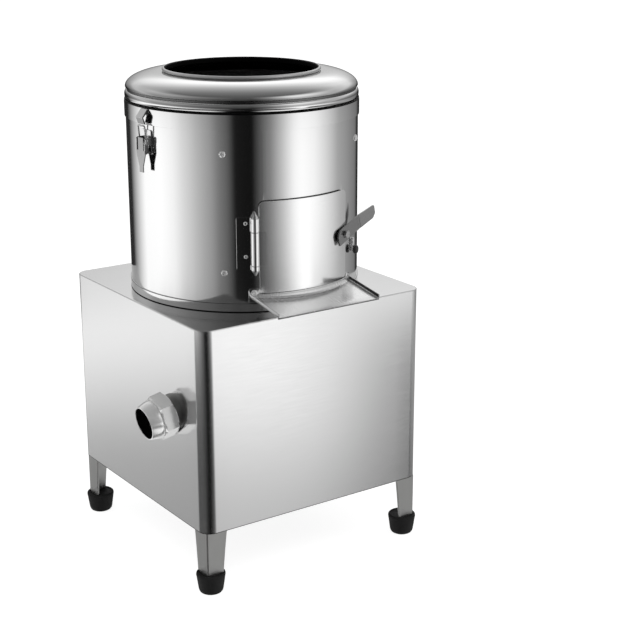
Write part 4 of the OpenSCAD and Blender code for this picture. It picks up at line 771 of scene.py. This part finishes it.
def makeLatch(s):
    half, tail = s["w"] / 2, -s["tail"]
    # the tail's lower corner is square and its upper corner is round
    near = [(tail + 1, -half), (tail, -half + 1), (tail, 0)]
    near += [(tail + half - half * cosDeg(a), half * sinDeg(a)) for a in range(15, 91, 15)]
    outline = near + [(s["bend"] - 4, half), (s["bend"] - 4, -half)]
    flat = extruded(outline, s["inner"], s["inner"] + s["t"])
    rings = []
    for i in range(7):
        share = i / 6
        a = math.radians(s["bendAngle"] * share)
        x, lift = s["bend"] - 4 + 6 * share, 6 * share * math.sin(a) / 2
        rings.append([(x + z * -math.sin(a), y, s["inner"] + lift + z * math.cos(a))
                      for y, z in ((-half, 0), (half, 0), (half, s["t"]), (-half, s["t"]))])
    a = math.radians(s["bendAngle"])
    reach = s["l"] - s["bend"]
    arm = [(2.2, half), (reach - 2, half - 2), (reach, half - 3.6), (reach, -half + 8.5), (reach - 0.8, -half + 6.6),
           (reach - 7, -half + 1.4), (reach - 9, -half + 0.8), (2.2, -half)]
    far = []
    for z in (0, s["t"]):
        far.append([(s["bend"] + u * math.cos(a) - z * math.sin(a), y,
                     s["inner"] + 0.32 + u * math.sin(a) + z * math.cos(a)) for u, y in arm])
    parts = [flat, capped(rings), capped(far)]
    at = outward(s["angle"], s["z"]) @ Matrix.Rotation(math.radians(s["rise"]), 4, "Z")
    # painted shade: the latch lever gets the darker copy of the satin steel
    addPiece("latchLever", [moved(part, at) for part in parts], "latch", ["latch_lever"], "satin_steel",
             leverPaintedShade, bevel=0.4)
    r, top = s["bolt"] / 2, s["inner"] + s["t"]
    spacer = solidOfRings([(2 * r - 0.4, s["doorOut"] - 0.2, 0), (2 * r, s["doorOut"] + 0.4, 0),
                           (2 * r, s["inner"] - 0.5, 0), (2 * r - 0.4, s["inner"] - 0.3, 0)])
    stud = solidOfRings([(r, s["doorOut"] - 1.4, 0), (r, top + 1.6, 0), (r - 0.5, top + 2, 0)])
    nut = solidOfRings([(6.2, top + 0.3, 0.6), (7.4, top + 0.8, 1), (7.4, top + 4.4, 1), (6.6, top + 5.1, 0.5),
                        (5.2, top + 5.3, 0), (3.4, top + 5.3, 0), (3.0, top + 4.9, 0)])
    stand = outward(s["angle"], s["z"])
    addPiece("latchBolt", [moved(part, stand) for part in (spacer, stud, nut)], "door", ["latch_bolt"],
             "fastener_steel", sharp=30)


makeLatch(latch)

keeper = {"angle": 35, "z": 544, "inner": 200.3, "outer": 205.5, "w": 7.2, "corner": 2.6, "up": 8.5, "tall": 25,
          "knob": 7.5}


def makeKeeper(s):
    outline = [(x, y + s["up"]) for x, y in roundedOutline(s["w"], s["tall"], s["corner"], 6)]
    at = outward(s["angle"], s["z"])
    # painted light: the keeper gets the lighter copy of the fastener steel
    addPiece("latchKeeper", [moved(extruded(outline, s["inner"], s["outer"]), at)], "machine", ["latch_keeper"],
             "fastener_steel", screwPaintedLight, bevel=1.4, segments=5, sharp=50)
    low, r = s["outer"] + 0.2, s["knob"]
    profile = [(r - 1.6, low, 0), (r - 0.5, low + 0.6, 0), (r, low + 2, 0), (r, low + 4, 0), (r - 0.5, low + 5.6, 0),
               (r - 2, low + 6.7, 0), (r - 4, low + 7, 0)]
    addPiece("keeperKnob", [moved(solidOfRings(profile), at)], "machine", ["keeper_knob"], "black_plastic", sharp=60)


makeKeeper(keeper)
print("door, hinge, latch and keeper made")

# chute

chute = {"half": 102, "backY": -172.62, "backZ": 496, "slope": 9, "lip": -264, "t": 1.5, "flange": 6, "skin": 200.7,
         "low": 486, "earTop": 509.2, "sweep": 9, "sweepTop": 500.6}


def makeChute(s):
    slope = math.radians(s["slope"])
    inner = s["half"] - s["t"]
    across = [(-inner, s["flange"]), (-inner, 1.4), (-inner + 0.4, 0.4), (-inner + 1.4, 0)]
    flatCount = 48
    across += [(-inner + 1.4 + (2 * inner - 2.8) * i / flatCount, 0) for i in range(1, flatCount)]
    across += [(inner - 1.4, 0), (inner - 0.4, 0.4), (inner, 1.4), (inner, s["flange"])]
    rings = []
    for x, up in across:
        back = -math.sqrt((s["skin"] + s["t"]) ** 2 - x * x) - s["sweep"]
        level = s["backZ"] + (back - s["backY"]) * math.tan(slope)
        ring = [(x, s["lip"] + (back - s["lip"]) * i / 4, level + (s["lip"] - back) * (1 - i / 4) * math.tan(slope))
                for i in range(5)]
        rise = s["sweepTop"] - level
        ring += [(x, back + s["sweep"] * sinDeg(t), level + rise * (1 - cosDeg(t)))
                 for t in (15, 30, 45, 60, 75, 90)]
        rings.append([(px, py, pz + up / math.cos(slope)) for px, py, pz in ring])
    for ring in (rings[0], rings[-1]):
        ring[-6:] = [(px, py, min(pz, s["sweepTop"] + s["flange"])) for px, py, pz in ring[-6:]]
    # painted light: the tray gets the lighter copy of the satin steel
    addPiece("chute", [loft(rings, closeAround=False)], "machine", ["chute"], "satin_steel", trayPaintedLight,
             sharp=50, sheet=s["t"])
    ears = []
    for m in (-1, 1):
        a, b = sorted((m * (s["half"] - 16), m * (s["half"] - 0.5)))
        ears.append(wrapPanel(a, b, s["low"], s["earTop"], 4, s["skin"], s["skin"] + s["t"], lowCorner=0))
    rings = []
    for x in wrapColumns(2 - s["half"], s["half"] - 2, 0):
        yOut, yIn = -math.sqrt((s["skin"] + s["t"]) ** 2 - x * x), -math.sqrt(s["skin"] ** 2 - x * x)
        top = s["backZ"] + (yOut - s["backY"]) * math.tan(slope) - 0.5
        low = min(s["low"], top - 0.6)
        rings.append([(x, yOut, low), (x, yOut, top), (x, yIn, top), (x, yIn, low)])
    ears.append(capped(rings))
    addPiece("chuteEars", ears, "machine", ["chute"], "satin_steel", bevel=0.3)
    # painted shade: a dark hem folded back under the lip, for the shadow under the lip
    y, level = s["lip"], s["backZ"] + (s["lip"] - s["backY"]) * math.tan(slope)
    hemShade = [(0.3, -2.6), (0.9, -3.1), (1.9, -3.1), (2.4, -2.6), (2.4, -0.3), (0.3, -0.3)]
    hemShade = [[(x, y + dy, level + dz) for dy, dz in hemShade] for x in (0.5 - s["half"], s["half"] - 0.5)]
    addPiece("chuteHemShade", [capped(hemShade)], "machine", ["chute"], "satin_steel", darkPaintedShade, bevel=0.2)
    # painted shade: the inner side of the right flange, drawn dark for the shade there
    x, y0, y1 = inner - 0.25, s["backY"] - 6, s["lip"] + 0.5
    side = [(y, s["backZ"] + (y - s["backY"]) * math.tan(slope) + up) for y, up in
            ((y0, 1.2), (y1, 1.2), (y1, s["flange"] - 0.2), (y0, s["flange"] - 0.2))]
    addPiece("chuteFlangeShade", [capped([[(x + dx, y, z) for y, z in side] for dx in (0, 0.2)])],
             "machine", ["chute"], "satin_steel", darkPaintedShade)


makeChute(chute)

# drain

drain = {"wall": (-225, -126, 306), "slope": 11, "start": 8.23, "nut": 26, "nozzle": 22, "flats": 68, "mouth": 29,
         "bore": 27, "turn": 12, "steps": 96}


def makeDrain(s):
    at = Matrix.Translation(s["wall"]) @ Matrix.Rotation(math.radians(-90 - s["slope"]), 4, "Y")
    corner, flat, bore, mouth = s["flats"] / math.sqrt(3), s["flats"] / 2, s["bore"], s["mouth"]
    low, high = s["start"], s["start"] + s["nut"]
    levels = [(flat - 3, low, 0), (flat + 0.6, low, 0), (flat + 2.2, low + 0.7, 0.5), (corner, low + 2.4, 1),
              (corner, high - 2.4, 1), (flat + 2.2, high - 0.7, 0.5), (flat + 0.6, high, 0), (flat - 3, high, 0)]
    nut = moved(solidOfRings(levels, s["steps"]), at @ turned(s["turn"]))
    # painted light: the nut gets the lighter copy of the polished steel
    addPiece("drainNut", [nut], "machine", ["drain_nut"], "polished_steel", drainPaintedLight, sharp=24)
    end = high + s["nozzle"]
    profile = [(bore, high + 0.2), (flat - 1.4, high + 0.2), (flat - 0.8, high + 1), (flat - 0.4, high + 3),
               (flat - 1, high + 8), (flat - 3, end - 7), (mouth + 0.8, end - 3), (mouth, end - 1),
               (mouth - 0.25, end - 0.3), (mouth - 0.8, end), (bore + 0.3, end - 0.1), (bore, end - 0.7),
               (bore, end - 6)]
    # painted light: the nozzle gets the lighter copy of the polished steel
    addPiece("drainNozzle", [moved(lathe(profile, s["steps"]), at)], "machine", ["drain_nozzle"], "polished_steel",
             drainPaintedLight, sharp=40)
    # painted shade: the bore is lined black for the shade inside it
    throat = [(bore, high + 0.4), (bore, end - 1), (bore - 0.6, end - 2), (bore - 0.6, high + 0.4)]
    addPiece("drainThroatShade", [moved(lathe(throat, s["steps"]), at)], "machine", ["drain_nozzle"], "polished_steel",
             blackPaintedShade)


makeDrain(drain)
print("chute and drain made")

# controls and cable gland

controls = {"wall": 225, "z": 389, "pitch": 44, "button": 11, "plateW": 90, "plateH": 56, "plateT": 2, "out": 11}


def makeControls(s):
    # local x runs along +Y, local y up and local z out of the right wall
    out = Matrix.Translation((s["wall"], 0, s["z"])) @ Matrix(((0, 0, 1, 0), (1, 0, 0, 0), (0, 1, 0, 0), (0, 0, 0, 1)))
    parts = [extruded(roundedOutline(s["plateW"], s["plateH"], 6), 0, s["plateT"])]
    for m in (-1, 1):
        r = s["button"]
        collar = [(r + 0.3, 1.6), (r + 4, 1.6), (r + 4, 3.6)] + arc(r + 3, 4, 1, 1, 0, 90, 4)
        collar += [(r + 1, 5), (r + 0.3, 4.4)]
        parts.append(moved(lathe(collar, 64), Matrix.Translation((m * s["pitch"] / 2, 0, 0))))
    addPiece("switchPlate", [moved(part, out) for part in parts], "machine", ["switch_plate"], "satin_steel",
             bevel=0.35, sharp=40)
    for name, m, slotName in (("start", -1, "green_plastic"), ("stop", 1, "red_plastic")):
        r, top = s["button"], s["out"]
        levels = [(5, -18, 0), (5, 5.5, 0), (r, 5.8, 0), (r, top - 2.2, 0), (r - 0.4, top - 1.1, 0),
                  (r - 1.3, top - 0.4, 0), (r - 2.6, top, 0), (r - 4.5, top - 0.5, 0), (r - 7.5, top - 0.9, 0)]
        button = moved(solidOfRings(levels, 56), out @ Matrix.Translation((m * s["pitch"] / 2, 0, 0)))
        addPiece(name + "Button", [button], name + "_key", [name + "_button"], slotName, sharp=50)


makeControls(controls)

gland = {"x": -60, "z": 204, "wall": 225, "hex": 13.5, "l": 24, "bore": 4.5}


def makeGland(s):
    at = Matrix.Translation((s["x"], s["wall"], s["z"])) @ Matrix.Rotation(math.radians(-90), 4, "X")
    h = s["hex"]
    levels = [(h - 1.2, -7.5, 0.8), (h, -6.9, 1), (h, -1.6, 1), (9.8, -1.5, 0), (9.8, 0, 0), (h - 1, 0.1, 0.8),
              (h, 0.8, 1), (h, 7.2, 1), (h - 1, 8, 0.8), (h - 2.6, 8.1, 0), (h - 2.5, 15, 0), (h - 3.2, 17.5, 0),
              (h - 5, 20.5, 0), (h - 6, s["l"] - 1, 0), (h - 6.8, s["l"], 0), (s["bore"] + 0.6, s["l"], 0),
              (s["bore"], s["l"] - 0.7, 0), (s["bore"], s["l"] - 14, 0)]
    addPiece("cableGland", [moved(solidOfRings(levels, 60), at)], "machine", ["cable_gland"], "black_plastic", sharp=35)


makeGland(gland)
print("controls and gland made")


# nodes kept from the frame get their finish

def dressNodes():
    count = 0
    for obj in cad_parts.values():
        for item in obj.material_slots:
            key = item.material.name.split(".")[0] if item.material else ""
            if key in materials:
                item.material = materials[key]
                count += 1
    return count


print("frame finishes set:", dressNodes())


# floor, light tent and lamps

def blankMaterial(name):
    material = bpy.data.materials.new(name)
    material.use_nodes = True
    tree = material.node_tree
    tree.nodes.clear()
    out = tree.nodes.new("ShaderNodeOutputMaterial")
    return material, tree, out


floorSet = {"side": 14.0, "grey": 0.88, "seenShare": 0.64, "glow": 1.36}


def makeFloor(s):
    side = s["side"]
    mesh, floor = meshObject("floor", [(-side, -side, 0), (side, -side, 0), (side, side, 0), (-side, side, 0)],
                             [(0, 1, 2, 3)])
    material, tree, out = blankMaterial("floor")
    lit = tree.nodes.new("ShaderNodeBsdfDiffuse")
    lit.inputs["Color"].default_value = (s["grey"], s["grey"], s["grey"], 1)
    glow = tree.nodes.new("ShaderNodeEmission")
    glow.inputs["Strength"].default_value = s["glow"]
    path = tree.nodes.new("ShaderNodeLightPath")
    both = tree.nodes.new("ShaderNodeMixShader")
    tree.links.new(mathNode(tree, "MULTIPLY", path.outputs["Is Camera Ray"], s["seenShare"]), both.inputs[0])
    tree.links.new(lit.outputs[0], both.inputs[1])
    tree.links.new(glow.outputs[0], both.inputs[2])
    tree.links.new(both.outputs[0], out.inputs["Surface"])
    mesh.materials.append(material)
    floor.visible_glossy = False


def rampOf(tree, socket, stops, start=0, span=1):
    ramp = tree.nodes.new("ShaderNodeValToRGB")
    elements = ramp.color_ramp.elements
    while len(elements) > 1:
        elements.remove(elements[-1])
    for i, (at, value) in enumerate(stops):
        position = (at - start) / span
        element = elements[0] if i == 0 else elements.new(position)
        element.position = position
        element.color = (value, value, value, 1)
    tree.links.new(socket, ramp.inputs["Fac"])
    return ramp.outputs["Color"]


tent = {
    "radius": 12.0, "strength": 1.16,
    # brightness round the machine, level with the drum: degrees to the right of the camera's side
    "bands": [(-180, 0.03), (-143, 0.02), (-131, 0.38), (-120, 0.72), (-110, 1.02), (-85, 1.05), (-70, 0.94),
              (-55, 0.68), (-42, 0.48), (-29, 0.32), (-21, 0.19), (-13, 0.12), (-5, 0.01), (12, 0.005), (19, 0.08),
              (30, 0.24), (42, 0.57), (54, 0.96), (61, 1.03), (76, 0.94), (91, 0.70), (110, 0.37), (136, 0.23),
              (151, 0.17), (160, 0.02), (180, 0.005)],
    # the same further down, level with the cabinet
    "lowBands": [(-180, 0.30), (-150, 0.50), (-128, 0.98), (-113, 0.98), (-106, 0.60), (-96, 0.16), (-72, 0.13),
                 (-42, 0.11), (-14, 0.07), (6, 0.012), (24, 0.012), (42, 0.08), (54, 0.40), (61, 0.98), (64, 1.16),
                 (69.4, 1.19), (70.8, 0.96), (72, 0.46), (73.5, 0.17), (80, 0.16), (95, 0.26), (120, 0.34),
                 (180, 0.30)],
    # how much of the bands is left further up, in degrees above the horizon
    "aboveLeft": [(-90, 1.0), (-8, 1.0), (-2, 0.30), (6, 0.20), (18, 0.24), (36, 0.30), (52, 0), (90, 0)],
    "aboveRight": [(-90, 1.0), (-8, 1.0), (-2, 0.42), (6, 0.38), (18, 0.60), (36, 0.80), (52, 0), (90, 0)],
    # brightness over the top: degrees from the camera's horizon, over the zenith, to the far horizon
    "arch": [(0, 0.04), (35, 0.07), (70, 0.11), (98, 0.18), (114, 0.28), (130, 0.46), (142, 0.74), (150, 1.0),
             (157, 1.05), (160, 0.90), (163, 0.72), (168, 0.56), (174, 0.46), (180, 0.40)],
    # how much of the low bands' light is left, in degrees below the horizon, on the left and on the right
    "belowLeft": [(0, 1.0), (17.6, 1.0), (20.3, 0.72), (22.6, 0.42), (26, 0.37), (36, 0.20), (50, 0.06), (90, 0.04)],
    "belowRight": [(0, 1.0), (17.6, 1.0), (20.5, 0.88), (22.6, 0.76), (24.4, 0.50), (36, 0.26), (50, 0.08), (90, 0.04)],
    # how much of the arch is left towards the far sides, from the middle outwards
    "aside": [(0, 1.0), (0.08, 1.0), (0.23, 0.62), (0.46, 0.38), (0.71, 0.24), (1, 0.2)],
    # light from the floor, in degrees below the horizon
    "floor": [(0, 0), (29, 0), (38, 0.75), (90, 0.9)],
    "split": (15.6, 17.4),  # degrees below the horizon where the low bands take over
    "rise": (-6, 8),  # degrees above the horizon between which the arch joins in
    "side": (0.15, 0.5),  # share of the radius, sideways, over which the floor's light comes in
    "rows": 24, "columns": 64, "level": 0.45,
}


def makeTent(s):
    rows, columns, radius = s["rows"], s["columns"], s["radius"]
    rings = []
    for i in range(1, rows):
        e = math.pi * (i / rows - 0.5)
        turns = [2 * math.pi * j / columns for j in range(columns)]
        rings.append([(radius * math.cos(e) * math.cos(t), radius * math.cos(e) * math.sin(t), radius * math.sin(e))
                      for t in turns])
    mesh, obj = meshObject("tent", *capped(rings))
    mesh.shade_smooth()
    obj.location = (drumAxis[0] * 0.001, drumAxis[1] * 0.001, s["level"])
    obj.rotation_euler = (0, 0, math.radians(cameraSet["azimuth"]))
    material, tree, out = blankMaterial("tent")
    coords = tree.nodes.new("ShaderNodeTexCoord")
    split = tree.nodes.new("ShaderNodeSeparateXYZ")
    tree.links.new(coords.outputs["Object"], split.inputs[0])
    x, y, z = split.outputs
    towards = mathNode(tree, "MULTIPLY", y, -1.0)
    around = mathNode(tree, "ARCTAN2", x, towards)
    turn = mathNode(tree, "ADD", mathNode(tree, "DIVIDE", around, 2 * math.pi), 0.5)
    bands, lowBands = [rampOf(tree, turn, s[key], -180, 360) for key in ("bands", "lowBands")]
    over = mathNode(tree, "DIVIDE", mathNode(tree, "ARCTAN2", z, towards), math.pi)
    arch = rampOf(tree, over, s["arch"], 0, 180)
    drop = mathNode(tree, "ARCSINE", mathNode(tree, "DIVIDE", z, -radius))
    depth = mathNode(tree, "DIVIDE", drop, math.pi / 2)
    fades = [rampOf(tree, depth, s[key], 0, 90) for key in ("belowLeft", "belowRight")]
    onRight = mathNode(tree, "GREATER_THAN", x, 0.0)
    fade = mixColours(tree, onRight, fades[0], fades[1])
    lowPart = mixColours(tree, 1, lowBands, fade, "MULTIPLY")
    isLow = rangeOf(tree, drop, 0, 1, math.radians(s["split"][0]), math.radians(s["split"][1]), "SMOOTHSTEP")
    wall = mixColours(tree, isLow, bands, lowPart)
    height = mathNode(tree, "SUBTRACT", 0.5, mathNode(tree, "DIVIDE", drop, math.pi))
    above = [rampOf(tree, height, s[key], -90, 180) for key in ("aboveLeft", "aboveRight")]
    above = mixColours(tree, onRight, above[0], above[1])
    wall = mixColours(tree, 1, wall, above, "MULTIPLY")
    isHigh = rangeOf(tree, drop, 0, 1, math.radians(-s["rise"][1]), math.radians(-s["rise"][0]), "SMOOTHSTEP")
    aside = mathNode(tree, "MULTIPLY", mathNode(tree, "ABSOLUTE", x), mathNode(tree, "SUBTRACT", radius, z))
    aside = rampOf(tree, mathNode(tree, "DIVIDE", aside, radius * radius), s["aside"])
    arch = mixColours(tree, 1, arch, aside, "MULTIPLY")
    under = rampOf(tree, depth, s["floor"], 0, 90)
    near, far = [radius * share for share in s["side"]]
    sideways = rangeOf(tree, mathNode(tree, "ABSOLUTE", x), 0, 1, near, far, "SMOOTHSTEP")
    under = mixColours(tree, 1, under, sideways, "MULTIPLY")
    sky = mixColours(tree, isHigh, arch, under)
    whole = mixColours(tree, 1, wall, sky, "ADD")
    glow = tree.nodes.new("ShaderNodeEmission")
    glow.inputs["Strength"].default_value = s["strength"]
    tree.links.new(whole, glow.inputs["Color"])
    tree.links.new(glow.outputs[0], out.inputs["Surface"])
    material.cycles.emission_sampling = "NONE"
    mesh.materials.append(material)
    obj.visible_camera = False
    obj.visible_diffuse = False
    obj.visible_shadow = False


# the world's strength, first for light and then as it is seen; lamps have a place, a size and a power
lightSet = {
    "world": (0.8, 1.0), "aim": (0, 0, 0.4),
    "lamps": (("keyLamp", (-1.6, -2.0, 2.6), 1.4, 26), ("sideLamp", (2.2, -1.2, 1.8), 1.2, 10)),
}


def makeLight(s):
    world = bpy.data.worlds.new("world")
    bpy.context.scene.world = world
    world.use_nodes = True
    tree = world.node_tree
    background = tree.nodes["Background"]
    background.inputs["Color"].default_value = (1, 1, 1, 1)
    path = tree.nodes.new("ShaderNodeLightPath")
    seen = mathNode(tree, "MAXIMUM", path.outputs["Is Camera Ray"], path.outputs["Is Glossy Ray"])
    seen = mathNode(tree, "MAXIMUM", seen, path.outputs["Is Transmission Ray"])
    tree.links.new(rangeOf(tree, seen, *s["world"], 0, 1), background.inputs["Strength"])
    for name, at, size, power in s["lamps"]:
        data = bpy.data.lights.new(name, "AREA")
        data.size = size
        data.energy = power
        lamp = newObject(name, data)
        lamp.visible_glossy = False
        lamp.location = at
        lamp.rotation_euler = (Vector(s["aim"]) - Vector(at)).to_track_quat("-Z", "Y").to_euler()


makeFloor(floorSet)
makeTent(tent)
makeLight(lightSet)
bpy.context.scene.view_settings.view_transform = "Standard"
print("floor, tent and lamps made")
